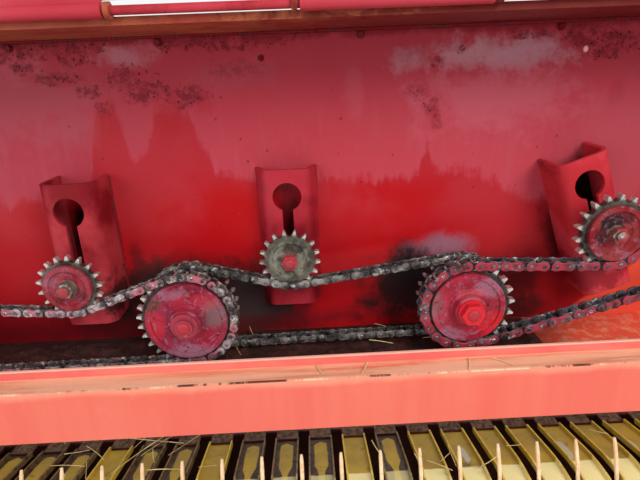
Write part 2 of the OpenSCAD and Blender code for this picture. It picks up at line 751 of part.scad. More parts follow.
// Skid: a flat runner under each side plate, turned up in front
skid_r = 150;
skid_bend_y = front_y + cheek_r - 40;
module skid(x) {
    color(steel) along_x(x - skid_w / 2, x + skid_w / 2) {
        translate([skid_bend_y, 0]) square([rear_y - skid_bend_y, skid_t]);
        translate([skid_bend_y, skid_r]) intersection() {
            difference() {
                circle(skid_r, $fn = 96);
                circle(skid_r - skid_t, $fn = 96);
            }
            translate([-skid_r, -skid_r]) square([skid_r, skid_r / 2]);
        }
    }
}
module skid_left() { skid(-half_w - side_t / 2); }
module skid_right() { skid(half_w + side_t / 2); }

// Shield, drawn upright over its hinge rod and then leant back

eye_d = rod_d + 2 * fit + 2 * shield_t;
module hinge_rod() {
    color(red) rod_x(hinge_y, hinge_z, -half_w - side_t, half_w + side_t, rod_d);
}
edge_gap = 8;
end_eye_w = 40;    // last eye on the right
shield_w = inner_w - 2 * edge_gap;
// Light slots between the eyes, from x to x, and the lands that stay between them
slot_spans = [for (k = [-2:1])
    [(2 * k + 1) * slot_len, min((2 * k + 2) * slot_len, shield_w / 2 - end_eye_w)]];
land_spans = concat(
    [[-shield_w / 2, slot_spans[0][0]]],
    [for (i = [0:len(slot_spans) - 2]) [slot_spans[i][1], slot_spans[i + 1][0]]],
    [[slot_spans[len(slot_spans) - 1][1], shield_w / 2]]);
flange_w = 28;
module leant() {
    translate([0, hinge_y, hinge_z]) rotate([-shield_lean, 0, 0]) children();
}
// Front view of the sheet over the hinge rod, with its light slots
sheet_foot = rod_d / 2 + fit + shield_t / 2;
module shield_front() {
    difference() {
        translate([-shield_w / 2, sheet_foot]) square([shield_w, shield_h - sheet_foot]);
        for (span = slot_spans) translate([span[0], 0]) square([span[1] - span[0], rod_d / 2 + slot_h]);
    }
}
module shield_sheet() {
    color(red) leant() difference() {
        union() {
            stand(-shield_t / 2, shield_t / 2) shield_front();
            // Free edge and ends bent to the outside
            translate([-shield_w / 2, 0, shield_h - shield_t]) cube([shield_w, flange_w, shield_t]);
            for (side = [-1, 1]) translate([side * (shield_w - shield_t) / 2 - shield_t / 2, 0, eye_d])
                cube([shield_t, flange_w, shield_h - eye_d]);
            for (span = land_spans) rod_x(0, 0, span[0], span[1], eye_d);
        }
        for (span = land_spans) rod_x(0, 0, span[0] - 1, span[1] + 1, rod_d + 2 * fit);
    }
}
handle_w = 160;
handle_out = 36;
module shield_handle() {
    y0 = shield_t / 2;
    color(steel) leant() translate([0, 0, shield_h - 90]) {
        for (side = [-1, 1]) rod_y(side * handle_w / 2, 0, y0, y0 + handle_out, 12);
        rod_x(y0 + handle_out, 0, -handle_w / 2 - 6, handle_w / 2 + 6, 12);
    }
}

// Pickup

coil_d = 40;
bar_circle_r = band_r - band_t - norm([band_back, band_down]) - coil_d / 2 - band_clear;
band_y = reel_y + band_back;
band_z = reel_z - band_down;
band_end_y = reel_y + band_reach;
// An odd number of bands, so that one stands in the middle
band_count = 2 * floor((half_w - band_w / 2) / band_pitch) + 1;
band_places = [for (k = [0:band_count - 1]) (k - (band_count - 1) / 2) * band_pitch];
tine_places = [for (k = [0:band_count - 2]) band_places[k] + band_pitch / 2];
// Lower ends of the bands, as an angle round the bands' curve from the top
band_lower = 205;
tail_lap = 0.2;    // overlap of a band's arc and its straight end
// Side view of a band's floor: arc over the reel and a straight rear end
module band_profile(r_in, r_out) {
    translate([band_y, band_z]) {
        difference() {
            circle(r_out, $fn = 128);
            circle(r_in, $fn = 128);
            // Opening at the rear, between the band's two ends
            polygon([
                [0, 0], [2 * band_r * sin(band_slope), 2 * band_r * cos(band_slope)],
                [2 * band_r, 0], [2 * band_r, -2 * band_r],
                [-2 * band_r * sin(band_lower), 2 * band_r * cos(band_lower)]
            ]);
        }
        rotate(-band_slope) translate([-tail_lap, r_in]) square([band_tail + tail_lap, r_out - r_in]);
    }
}
band_tail = (band_end_y - band_y - band_r * sin(band_slope)) / cos(band_slope);
module stripper_bands() {
    color(yellow) for (x = band_places) {
        along_x(x - band_w / 2, x + band_w / 2) band_profile(band_r - band_t, band_r);
        for (side = [-1, 1])
            translate([side * (band_w - band_t) / 2, 0, 0]) along_x(x - band_t / 2, x + band_t / 2)
                band_profile(band_r - band_t, band_r + band_flange);
    }
}

// Height of the bands' surface at their rear ends
band_end_z = band_z + band_r * cos(band_slope) - band_tail * sin(band_slope);
// The floor's edge clears the bands' leaning ends
floor_y = band_end_y + sheet_t * tan(band_slope) + seat;
floor_fall = 6;
floor_rear_z = band_end_z - floor_fall;
slot_side = 8;     // gap on either side of a tine in its slot
slot_end = 7;      // gap between the tine tips and a slot's end
tine_back_r = norm([tine_r, bar_d / 2 + tine_d + seat]);
floor_slot_y = reel_y + sqrt(pow(tine_back_r, 2) - pow(band_end_z - reel_z, 2)) + slot_end;
module feed_floor() {
    color(red) difference() {
        along_x(-half_w, half_w) polygon([
            [floor_y, band_end_z + sheet_t], [floor_y, band_end_z], [tube_y - tube_w / 2, floor_rear_z],
            [tube_y, floor_rear_z], [tube_y, floor_rear_z + sheet_t],
            [tube_y - tube_w / 2, floor_rear_z + sheet_t]
        ]);
        for (x = tine_places) translate([x - tine_d / 2 - slot_side, floor_y - cut, band_end_z - floor_fall])
            cube([tine_d + 2 * slot_side, floor_slot_y - floor_y + cut, sheet_t + 2 * floor_fall]);
    }
}

rail_w = 40;
rail_t = 5;
rail_angle = band_lower - 1;
// Flat bar under the bands' lower ends
module lower_band_rail() {
    color(red) along_x(-half_w, half_w) translate([band_y, band_z]) rotate(rail_angle)
        translate([-rail_w / 2, band_r + band_flange + seat]) square([rail_w, rail_t]);
}

back_y = reel_y + tine_back_r + back_gap;
pan_lead = rail_w / 2 + seat;
pan_r = band_r + band_flange + seat + (rail_t - sheet_t) / 2;
// The pan runs on behind the rail, in its plane, until it meets the upright sheet
pan_l = (back_y - seat - band_y + (pan_r + sheet_t) * sin(rail_angle)) / -cos(rail_angle) - pan_lead;
pan_end_z = band_z - (pan_lead + pan_l) * sin(rail_angle) + pan_r * cos(rail_angle);
back_foot = 20;    // how far the upright sheet runs on below the pan
function floor_under_z(y) = band_end_z - floor_fall * (y - floor_y) / (tube_y - tube_w / 2 - floor_y);
// Upright sheet behind the reel, hung under the feed floor, and the pan that closes it below
module reel_back_sheets() {
    color(red) along_x(-half_w, half_w) {
        polygon([
            [back_y, floor_under_z(back_y) - seat], [back_y, pan_end_z - back_foot],
            [back_y + sheet_t, pan_end_z - back_foot], [back_y + sheet_t, floor_under_z(back_y + sheet_t) - seat]
        ]);
        translate([band_y, band_z]) rotate(rail_angle) translate([-pan_lead - pan_l, pan_r])
            square([pan_l, sheet_t]);
    }
}

disc_count = 4;
reel_gap = 25;     // gap between the reel and a side plate
reel_w = inner_w - 2 * reel_gap;
disc_plate_t = 6;
disc_rim = 8;      // width of a disc outside its tine bars
// The reel's discs run under bands, clear of the tines between them
disc_places = [for (k = [0:disc_count - 1]) band_places[round(k * (band_count - 1) / (disc_count - 1))]];
function bar_angle(k) = reel_phase + k * 360 / bar_count;
module at_bar(k) {
    translate([0, reel_y, reel_z]) rotate([-bar_angle(k), 0, 0]) translate([0, 0, bar_circle_r]) children();
}
// The stub shafts stand in plugs that close the tube's ends
reel_bearing_l = 18;
reel_bearing_d = 80;
stub_out = 6;      // how far a stub stands out of its bearing
stub_end_x = half_w + side_t + reel_bearing_l + stub_out;
stub_mid_x = stub_end_x - stub_l / 2;
plug_t = 20;
plug_d = reel_tube_d - reel_wall;
plug_x = (reel_w - plug_t) / 2;
module reel_tube() {
    color(steel) {
        ring_x(reel_y, reel_z, -reel_w / 2, reel_w / 2, reel_tube_d, reel_tube_d - 2 * reel_wall);
        for (side = [-1, 1]) {
            rod_x(reel_y, reel_z, side * stub_mid_x - stub_l / 2, side * stub_mid_x + stub_l / 2, stub_d);
            rod_x(reel_y, reel_z, side * plug_x - plug_t / 2, side * plug_x + plug_t / 2, plug_d);
        }
    }
}
module reel_discs() {
    color(red) for (x = disc_places) difference() {
        rod_x(reel_y, reel_z, x - disc_plate_t / 2, x + disc_plate_t / 2, 2 * (bar_circle_r + bar_d / 2 + disc_rim));
        rod_x(reel_y, reel_z, x - disc_plate_t, x + disc_plate_t, reel_tube_d + 2 * fit);
        for (k = [0:bar_count - 1]) at_bar(k) rod_x(0, 0, x - disc_plate_t, x + disc_plate_t, bar_d + 2 * fit);
    }
}
module tine_bars() {
    color(red) for (k = [0:bar_count - 1]) at_bar(k)
        ring_x(0, 0, -reel_w / 2, reel_w / 2, bar_d, bar_d - 2 * reel_wall);
}
coil_w = 16;
// Tines stand between the bands, one in each gap on each bar
module tines() {
    color(yellow) for (k = [0:bar_count - 1]) for (x = tine_places) at_bar(k) {
        tine_rod(x);
        ring_x(0, 0, x - coil_w / 2, x + coil_w / 2, coil_d, bar_d + 2 * seat);
    }
}
module tine_rod(x) {
    translate([x, -(bar_d + tine_d) / 2 - seat, 0]) cylinder(h = tine_r - bar_circle_r, d = tine_d, $fn = 13);
}
module reel_bearings() {
    color(steel) for (side = [-1, 1]) {
        x0 = side > 0 ? half_w + side_t : -half_w - side_t - reel_bearing_l;
        ring_x(reel_y, reel_z, x0, x0 + reel_bearing_l, reel_bearing_d, stub_d + 2 * fit);
    }
}

side_plate_left();
side_plate_right();
skid_left();
skid_right();
front_wall();
wall_ribs();
trough_sheet();
front_beam();
top_ledge();
rear_cross_tubes();
hinge_rod();
shield_sheet();
shield_handle();
bracket_left();
bracket_middle();
bracket_right();
idler_left();
idler_middle();
idler_right();
idler_cap_left();
idler_cap_right();
idler_bolt_left();
idler_bolt_middle();
idler_bolt_right();
drive_sprocket_left();
drive_sprocket_right();
sprocket_disc_left();
sprocket_disc_right();
drive_shaft_left();
drive_shaft_right();
shaft_bearings();
end_sprocket_left();
end_sprocket_right();
end_shaft_left();
end_shaft_right();
chain_left();
chain_middle();
chain_right();
stripper_bands();
feed_floor();
lower_band_rail();
reel_back_sheets();
reel_tube();
reel_discs();
tine_bars();
tines();
reel_bearings();
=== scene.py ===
from types import SimpleNamespace as Look
import bpy
import numpy as np
from mathutils import Matrix, Vector


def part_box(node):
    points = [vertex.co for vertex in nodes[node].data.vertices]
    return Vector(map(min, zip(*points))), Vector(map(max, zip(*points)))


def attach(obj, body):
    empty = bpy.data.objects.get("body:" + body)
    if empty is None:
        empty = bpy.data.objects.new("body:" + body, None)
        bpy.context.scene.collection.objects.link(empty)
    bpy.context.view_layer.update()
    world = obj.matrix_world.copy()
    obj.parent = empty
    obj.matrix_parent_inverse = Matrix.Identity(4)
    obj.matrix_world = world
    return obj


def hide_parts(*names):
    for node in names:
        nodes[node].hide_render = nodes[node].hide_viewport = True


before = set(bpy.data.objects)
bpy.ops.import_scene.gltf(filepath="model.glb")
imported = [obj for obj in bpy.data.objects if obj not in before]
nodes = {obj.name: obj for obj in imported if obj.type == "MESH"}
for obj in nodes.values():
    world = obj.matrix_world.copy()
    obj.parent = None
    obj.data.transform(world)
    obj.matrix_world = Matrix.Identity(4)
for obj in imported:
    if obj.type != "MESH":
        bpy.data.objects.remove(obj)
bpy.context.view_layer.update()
print("frame loaded:", len(nodes), "nodes")

mm = 0.001

# Camera: eye and turn found from the panel's edges; it looks down on the chains, a little rolled
cameraSet = Look(eye=(0.0, -0.730, 1.200), pitch=19.3, roll=2.36, yaw=1.1, lens=28.125, sensor=36,
                 nearest=0.01)


def makeCamera(look):
    # forward from yaw and pitch, right level with it, then both turned by the roll
    pitch, roll, yaw = np.radians([look.pitch, look.roll, look.yaw])
    forward = np.array([np.sin(yaw) * np.cos(pitch), np.cos(yaw) * np.cos(pitch), -np.sin(pitch)])
    level = np.array([np.cos(yaw), -np.sin(yaw), 0.0])
    over = np.cross(level, forward)
    right = level * np.cos(roll) - over * np.sin(roll)
    up = level * np.sin(roll) + over * np.cos(roll)
    data = bpy.data.cameras.new("camera")
    data.lens = look.lens
    data.sensor_width = look.sensor
    data.clip_start = look.nearest
    made = bpy.data.objects.new("camera", data)
    turned = Matrix(np.column_stack([right, up, -forward]).tolist()).to_4x4()
    turned.translation = look.eye
    made.matrix_world = turned
    bpy.context.scene.collection.objects.link(made)
    bpy.context.scene.camera = made


makeCamera(cameraSet)

# Mesh tools. A part is (points, list of face arrays); like parts are joined into one mesh


def gridPart(rings):
    # rings[u, v] joined to quads: v runs round, and one face closes the first ring and one the last
    countU, countV = rings.shape[:2]
    index = np.arange(countU * countV).reshape(countU, countV)
    index = np.hstack([index, index[:, :1]])
    quads = np.stack([index[:-1, :-1], index[:-1, 1:], index[1:, 1:], index[1:, :-1]], -1).reshape(-1, 4)
    return rings.reshape(-1, 3), [quads, index[:1, -2::-1], index[-1:, :-1]]


def joinParts(parts):
    points, faces, start = [], [], 0
    for part in parts:
        points.append(part[0])
        faces += [face + start for face in part[1]]
        start += len(part[0])
    return np.concatenate(points), faces


def stamp(part, origin, axes):
    # copies of one part: each point goes to origin + x*axis0 + y*axis1 + z*axis2, for all copies at once
    placed = np.einsum("pi,kij->kpj", part[0], axes) + origin[:, None]
    shift = (np.arange(len(origin)) * len(part[0]))[:, None, None]
    return placed.reshape(-1, 3), [(face[None] + shift).reshape(-1, face.shape[1]) for face in part[1]]


def addPiece(name, part, body, material, smoothAngle=35):
    mesh = bpy.data.meshes.new(name)
    faces = [row for face in part[1] for row in face.tolist()]
    mesh.from_pydata(part[0].tolist(), [], faces)
    mesh.polygons.foreach_set("use_smooth", np.ones(len(mesh.polygons), dtype=bool))
    mesh.set_sharp_from_angle(angle=np.radians(smoothAngle))
    mesh.materials.append(material)
    mesh.update()
    made = bpy.data.objects.new(name, mesh)
    bpy.context.scene.collection.objects.link(made)
    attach(made, body)
    return made


def lathe(profile, sides):
    # rows of (radius, height) turned round z, with a face at either end
    profile = np.array(profile, float)
    angle = np.linspace(0, 2 * np.pi, sides, endpoint=False)
    ring = np.stack([np.cos(angle), np.sin(angle)], -1)
    heights = np.repeat(profile[:, None, 1:], sides, 1)
    return gridPart(np.concatenate([profile[:, None, :1] * ring[None], heights], -1))


def sweep(path, radius, sides):
    # a tube: rings of "sides" points round each path point, square to the path's direction there
    path = np.asarray(path, float)
    radius = np.broadcast_to(radius, len(path))
    along = np.gradient(path, axis=0)
    along /= np.linalg.norm(along, axis=1)[:, None]
    helper = np.where(np.abs(along[:, 2:]) > 0.9, [[1.0, 0, 0]], [[0, 0, 1.0]])
    side = np.cross(along, helper)
    side /= np.linalg.norm(side, axis=1)[:, None]
    top = np.cross(side, along)
    angle = np.linspace(0, 2 * np.pi, sides, endpoint=False)
    around = side[:, None] * np.cos(angle)[None, :, None] - top[:, None] * np.sin(angle)[None, :, None]
    return gridPart(path[:, None] + around * radius[:, None, None])


# A stamped part's own x, y and z when its z lies along a named direction
axesAlong = {
    "x": np.array([[0, 1, 0], [0, 0, 1], [1, 0, 0]], float),
    "-x": np.array([[0, -1, 0], [0, 0, 1], [-1, 0, 0]], float),
    "y": np.array([[0, 0, 1], [1, 0, 0], [0, 1, 0]], float),
    "-y": np.array([[1, 0, 0], [0, 0, 1], [0, -1, 0]], float),
}


def stampAlong(part, places, axis):
    places = np.atleast_2d(np.array(places, float))
    return stamp(part, places, np.repeat(axesAlong[axis][None], len(places), 0))


def middle(node):
    low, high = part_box(node)
    return (np.array(low) + np.array(high)) / 2


# Material tools


def screen(red, green, blue):
    # a colour as seen on a screen, 0 to 255, as linear light
    seen = np.array([red, green, blue]) / 255
    light = np.where(seen <= 0.04045, seen / 12.92, ((seen + 0.055) / 1.055) ** 2.4)
    return (*light.tolist(), 1.0)


# Tones that are laid over a finish, in screen numbers
tones = {
    "oil": (30, 25, 26), "pitAndShade": (30, 8, 12), "soot": (64, 22, 27), "mud": (88, 60, 46),
    "ash": (112, 96, 98), "lilac": (146, 98, 116), "bloom": (190, 128, 140), "haze": (190, 86, 100),
    "mauve": (168, 78, 90), "wet": (168, 34, 44), "bright": (200, 30, 38), "shade": (98, 14, 22),
    "paintedHighlight": (206, 92, 104), "sun": (238, 90, 66), "pale": (250, 186, 176), "crimson": (160, 24, 50),
}


class Shade:
    # one material's node tree, with short calls for the fields that the finishes are mixed from
    def __init__(self, name):
        self.material = bpy.data.materials.new(name)
        self.material.use_nodes = True
        self.tree = self.material.node_tree
        self.tree.nodes.clear()
        self.shader = self.add("BsdfPrincipled")
        self.out = self.add("OutputMaterial")
        self.tree.links.new(self.shader.outputs[0], self.out.inputs["Surface"])
        self.spot = self.add("TexCoord").outputs["Object"]
        split = self.add("SeparateXYZ", {0: self.spot})
        self.x, self.y, self.z = split.outputs

    def add(self, kind, inputs=None, **settings):
        made = self.tree.nodes.new("ShaderNode" + kind)
        for key, value in settings.items():
            setattr(made, key, value)
        for key, value in (inputs or {}).items():
            if isinstance(value, bpy.types.NodeSocket):
                self.tree.links.new(value, made.inputs[key])
            else:
                made.inputs[key].default_value = value
        return made

    def math(self, operation, a, b=0.0, clamp=False):
        return self.add("Math", {0: a, 1: b}, operation=operation, use_clamp=clamp).outputs[0]

    def plus(self, a, b, share=None):
        # a + b, or a + b * share
        return self.math("ADD", a, b if share is None else self.math("MULTIPLY", b, share))

    def minus(self, a, b):
        return self.math("SUBTRACT", a, b)

    def times(self, first, *others):
        for other in others:
            first = self.math("MULTIPLY", first, other)
        return first

    def ease(self, value, low, high):
        # 0 below low, 1 above high, smooth between; low may be the higher one
        start, end = (1.0, 0.0) if low > high else (0.0, 1.0)
        inputs = {0: value, 1: min(low, high), 2: max(low, high), 3: start, 4: end}
        return self.add("MapRange", inputs, interpolation_type="SMOOTHSTEP").outputs[0]

    def near(self, value, centre, half, soft):
        # 1 within half of the centre, easing to 0 over soft beyond that
        return self.ease(self.math("ABSOLUTE", self.minus(value, centre)), half + soft, half)

    def noise(self, scale, detail=4.0, rough=0.6, stretch=(1, 1, 1), offset=(0, 0, 0), warp=0.0):
        spot = self.add("Mapping", {"Vector": self.spot, "Location": offset, "Scale": stretch}).outputs[0]
        inputs = {"Vector": spot, "Scale": scale, "Detail": detail, "Roughness": rough, "Distortion": warp}
        return self.add("TexNoise", inputs).outputs[0]

    def cloud(self, low, high, *args, **more):
        # noise eased from low to high
        return self.ease(self.noise(*args, **more), low, high)

    def cells(self, scale, stretch=(1, 1, 1)):
        spot = self.add("Mapping", {"Vector": self.spot, "Scale": stretch}).outputs[0]
        return self.add("TexVoronoi", {"Vector": spot, "Scale": scale}).outputs["Distance"]

    def mix(self, amount, a, b):
        return self.add("Mix", {0: amount, 6: a, 7: b}, data_type="RGBA").outputs[2]

    def over(self, colour, tone, *amounts):
        # a tone over the colour, by all the amounts multiplied; tone is screen numbers or a name in tones
        numbers = tones[tone] if isinstance(tone, str) else tone
        return self.mix(self.times(*amounts), colour, screen(*numbers))

    def twoTone(self, amount, first, second):
        return self.mix(amount, screen(*first), screen(*second))

    def blend(self, amount, a, b):
        return self.add("Mix", {0: amount, 2: a, 3: b}, data_type="FLOAT").outputs[0]

    def fromAxis(self, point, across):
        # distance from a line through the point; "across" has 0 for the line's own direction, else 1
        away = self.add("VectorMath", {0: self.spot, 1: point}, operation="SUBTRACT").outputs[0]
        flat = self.add("VectorMath", {0: away, 1: across}, operation="MULTIPLY").outputs[0]
        return self.add("VectorMath", {0: flat}, operation="LENGTH").outputs["Value"]

    def oval(self, a, b, halfA, halfB, along="y"):
        # 0 at (a, b), 1 on an oval of those half sizes, the same all along the axis that is left
        place, scale = [-a / halfA, -b / halfB], [1 / halfA, 1 / halfB]
        for numbers in (place, scale):
            numbers.insert("xyz".index(along), 0)
        spot = self.add("Mapping", {"Vector": self.spot, "Location": place, "Scale": scale}).outputs[0]
        return self.add("VectorMath", {0: spot}, operation="LENGTH").outputs["Value"]

    def patch(self, row, shake, soft=0.5):
        # a ragged oval's amount: row is (x, z, half width, half height, strength)
        return self.times(self.ease(self.plus(self.oval(*row[:4]), shake), 1.0, 1.0 - soft), row[4])

    def lay(self, colour, rows, ragged, depth=2.2, soft=0.5):
        # ragged ovals of a tone over the colour: (x, z, half width, half height, strength, tone)
        shake = self.times(self.minus(ragged, 0.5), depth)
        for row in rows:
            colour = self.over(colour, row[5], self.patch(row, shake, soft))
        return colour

    def facing(self, axis):
        normal = self.add("NewGeometry").outputs["Normal"]
        return self.add("SeparateXYZ", {0: normal}).outputs["xyz".index(axis)]

    def bump(self, height, distance, strength=1.0, after=None):
        inputs = {"Height": height, "Distance": distance, "Strength": strength}
        if after:
            inputs["Normal"] = after
        return self.add("Bump", inputs).outputs[0]

    def finish(self, colour, rough, normal=None, metal=0.0, specular=0.12):
        inputs = self.shader.inputs
        for name, value in {"Base Color": colour, "Roughness": rough, "Metallic": metal,
                            "Normal": normal}.items():
            if isinstance(value, bpy.types.NodeSocket):
                self.tree.links.new(value, inputs[name])
            elif value is not None:
                inputs[name].default_value = value
        inputs["Specular IOR Level"].default_value = specular
        return self.material


# Red paint: clean, deep and dusty shades in clouds, soil, chips, then the piece's own patches in "spots"

paintSet = dict(clean=(178, 26, 34), deep=(118, 14, 24), dusty=(172, 62, 76), rust=(92, 42, 30),
                dirt=(70, 44, 38), gloss=0.36, matt=0.62)


def around(axis, rows):
    # patches given from a shaft's axis
    return [(axis[0] + x, axis[1] + z, *rest) for x, z, *rest in rows]


def redPaint(name, dust=0.5, patch=5.0, wear=0.5, dirt=0.2, seed=0, spots=(), axis=(0, 0),
             inside=0.0, mottle=0.0, **tint):
    s = Shade(name)
    look = Look(**dict(paintSet, **tint))
    move = (seed, seed * 0.7, seed * 0.3)
    broad = s.noise(patch, 5, 0.6, offset=move)
    fine = s.noise(60, 5, 0.65, offset=move)
    grit = s.noise(420, 3, 0.7)
    colour = s.twoTone(s.ease(broad, 0.62, 0.36), look.clean, look.deep)
    dusty = s.math("ADD", s.times(s.ease(broad, 0.34, 0.66), 0.7), dust - 0.35, clamp=True)
    dusty = s.math("MULTIPLY", dusty, s.blend(0.35, 1.0, fine), clamp=True)
    colour = s.over(colour, look.dusty, dusty)
    soil = s.times(s.ease(s.times(fine, s.noise(9, 4, 0.7, offset=move)), 0.26, 0.4), dirt)
    colour = s.over(colour, look.dirt, soil)
    colour = s.lay(colour, around(axis, spots), s.noise(55, 6, 0.7, offset=move, warp=0.4))
    if mottle:
        crackle = s.times(s.cloud(0.53, 0.6, 75, 7, 0.8, offset=move, warp=0.8), mottle, 0.7)
        colour = s.over(colour, "lilac", crackle)
        flecks = s.times(s.cloud(0.58, 0.64, 130, 6, 0.8, offset=move), mottle)
        colour = s.over(colour, "soot", flecks)
    flake = s.plus(s.noise(34, 8, 0.75, offset=move), grit, 0.12)
    chip = s.ease(flake, 0.78 - wear * 0.08, 0.8 - wear * 0.08)
    colour = s.over(colour, look.rust, chip)
    # painted shade on faces that look back at the wall, as in a bracket's channel
    if inside:
        colour = s.over(colour, "pitAndShade", s.ease(s.facing("y"), 0.2, 0.7), inside)
    rough = s.blend(dusty, look.gloss, look.matt)
    normal = s.bump(s.plus(s.times(grit, 0.3), chip, -1.2), 0.0006, 0.5)
    normal = s.bump(broad, 0.004, 0.25, normal)
    return s.finish(colour, rough, normal)


# Axes of the shafts, read from the frame

leftDrive, rightDrive, leftEnd, rightEnd, leftIdler, midIdler, rightIdler = (
    middle(node)[[0, 2]] for node in (
        "drive_shaft_left", "drive_shaft_right", "end_shaft_left", "end_shaft_right",
        "idler_bolt_left", "idler_bolt_middle", "idler_bolt_right"))
leftBracket, midBracket, rightBracket = (
    middle(node)[[0, 2]] for node in ("bracket_left", "bracket_middle", "bracket_right"))

# The drive wall: dust above a ragged edge, wiped and washed paint below, oil along the chains

wallSet = Look(
    lowZ=0.758, highZ=1.249, halfX=0.82,
    # height of the dust's lower edge from left to right, as (x, z)
    dustEdge=[
        (-0.82, 1.0), (-0.494, 1.008), (-0.398, 1.012), (-0.345, 1.03), (-0.316, 1.146), (-0.284, 1.157),
        (-0.281, 1.08), (-0.27, 1.058), (-0.255, 1.073), (-0.226, 1.133), (-0.18, 1.149), (-0.169, 1.097),
        (-0.154, 1.081), (-0.149, 1.046), (-0.132, 1.036), (0.019, 1.033), (0.067, 1.023), (0.108, 1.011),
        (0.165, 1.022), (0.178, 1.03), (0.189, 1.085), (0.2, 1.045), (0.214, 1.036), (0.278, 1.02),
        (0.347, 0.983), (0.552, 0.95), (0.82, 0.93)],
    # patches as (x, z, half width, half height, strength, tone)
    cloudy=[
        (-0.42, 1.16, 0.17, 0.09, 0.6, "mauve"), (-0.44, 1.215, 0.1, 0.03, 0.6, "haze"),
        (-0.262, 1.222, 0.055, 0.024, 0.6, "bloom"), (0.165, 1.203, 0.055, 0.022, 0.55, "bloom"),
        # the wide pale bloom and haze here, at the upper right, are chalky dust with a painted sheen over
        # it
        (0.30, 1.205, 0.14, 0.036, 1.0, "bloom"), (0.29, 1.14, 0.17, 0.07, 0.8, "haze"),
        (0.075, 1.16, 0.022, 0.06, 0.35, "haze"), (-0.3, 1.13, 0.026, 0.045, 0.8, "wet"),
        (-0.207, 1.128, 0.028, 0.05, 0.75, "wet"), (-0.156, 1.15, 0.022, 0.03, 0.5, "wet"),
        (0.483, 1.146, 0.018, 0.035, 0.5, "wet"), (0.2, 1.12, 0.014, 0.03, 0.6, "wet"),
        (-0.1, 1.19, 0.1, 0.03, 0.35, "mauve"), (0.5, 1.05, 0.12, 0.14, 0.35, "mauve")],
    # crumbs of dirt, as (x, z, half width, half height, strength)
    crumbs=[
        (-0.43, 1.236, 0.06, 0.02, 1.0), (-0.38, 1.236, 0.05, 0.018, 0.9),
        (-0.335, 1.228, 0.035, 0.022, 1.0), (-0.298, 1.238, 0.018, 0.012, 0.8),
        (-0.416, 1.211, 0.02, 0.013, 0.7), (-0.362, 1.196, 0.035, 0.014, 0.7),
        (-0.267, 1.191, 0.034, 0.022, 0.95), (-0.235, 1.172, 0.05, 0.022, 0.9),
        (-0.185, 1.163, 0.045, 0.02, 0.6), (-0.12, 1.236, 0.12, 0.014, 0.6), (-0.1, 1.2, 0.05, 0.02, 0.3),
        (-0.5, 1.22, 0.06, 0.03, 0.9), (-0.319, 1.175, 0.02, 0.013, 0.8), (-0.303, 1.15, 0.018, 0.014, 0.6),
        (0.165, 1.208, 0.03, 0.016, 0.25), (0.203, 1.196, 0.014, 0.01, 0.5),
        (0.235, 1.214, 0.008, 0.01, 0.8), (0.34, 1.231, 0.04, 0.01, 0.9),
        (0.172, 1.153, 0.026, 0.017, 0.35), (0.193, 1.134, 0.018, 0.02, 0.45),
        (0.204, 1.112, 0.012, 0.02, 0.4), (0.43, 1.225, 0.055, 0.02, 1.0), (0.47, 1.216, 0.045, 0.02, 1.0),
        (0.456, 1.2, 0.035, 0.012, 0.8)],
    # oil, soot and dried spray round the chains, and painted shade beside the right bracket and along the
    # wall's foot
    greasy=[
        (0.222, 0.899, 0.07, 0.03, 0.9, "lilac"), (0.165, 0.882, 0.03, 0.035, 0.5, "lilac"),
        (-0.285, 0.845, 0.13, 0.07, 0.9, "oil"), (-0.12, 0.82, 0.14, 0.11, 0.95, "oil"),
        (-0.342, 0.79, 0.1, 0.05, 0.7, "oil"), (-0.2, 0.885, 0.13, 0.04, 0.4, "oil"),
        (-0.115, 0.815, 0.1, 0.07, 0.25, "ash"), (-0.02, 0.778, 0.12, 0.03, 0.5, "soot"),
        (0.155, 0.835, 0.095, 0.1, 0.95, "oil"), (0.2, 0.855, 0.11, 0.05, 0.9, "oil"),
        (0.335, 0.83, 0.09, 0.08, 0.7, "oil"), (0.36, 0.78, 0.07, 0.035, 0.6, "oil"),
        (0.07, 0.785, 0.08, 0.025, 0.3, "soot"), (0.413, 0.92, 0.04, 0.06, 0.75, "shade"),
        (0.392, 0.957, 0.02, 0.04, 0.45, "shade"), (0.45, 0.825, 0.06, 0.05, 0.4, "shade"),
        (-0.3, 0.775, 0.4, 0.022, 0.5, "shade"), (-0.292, 0.9, 0.02, 0.045, 0.6, "soot")],
)


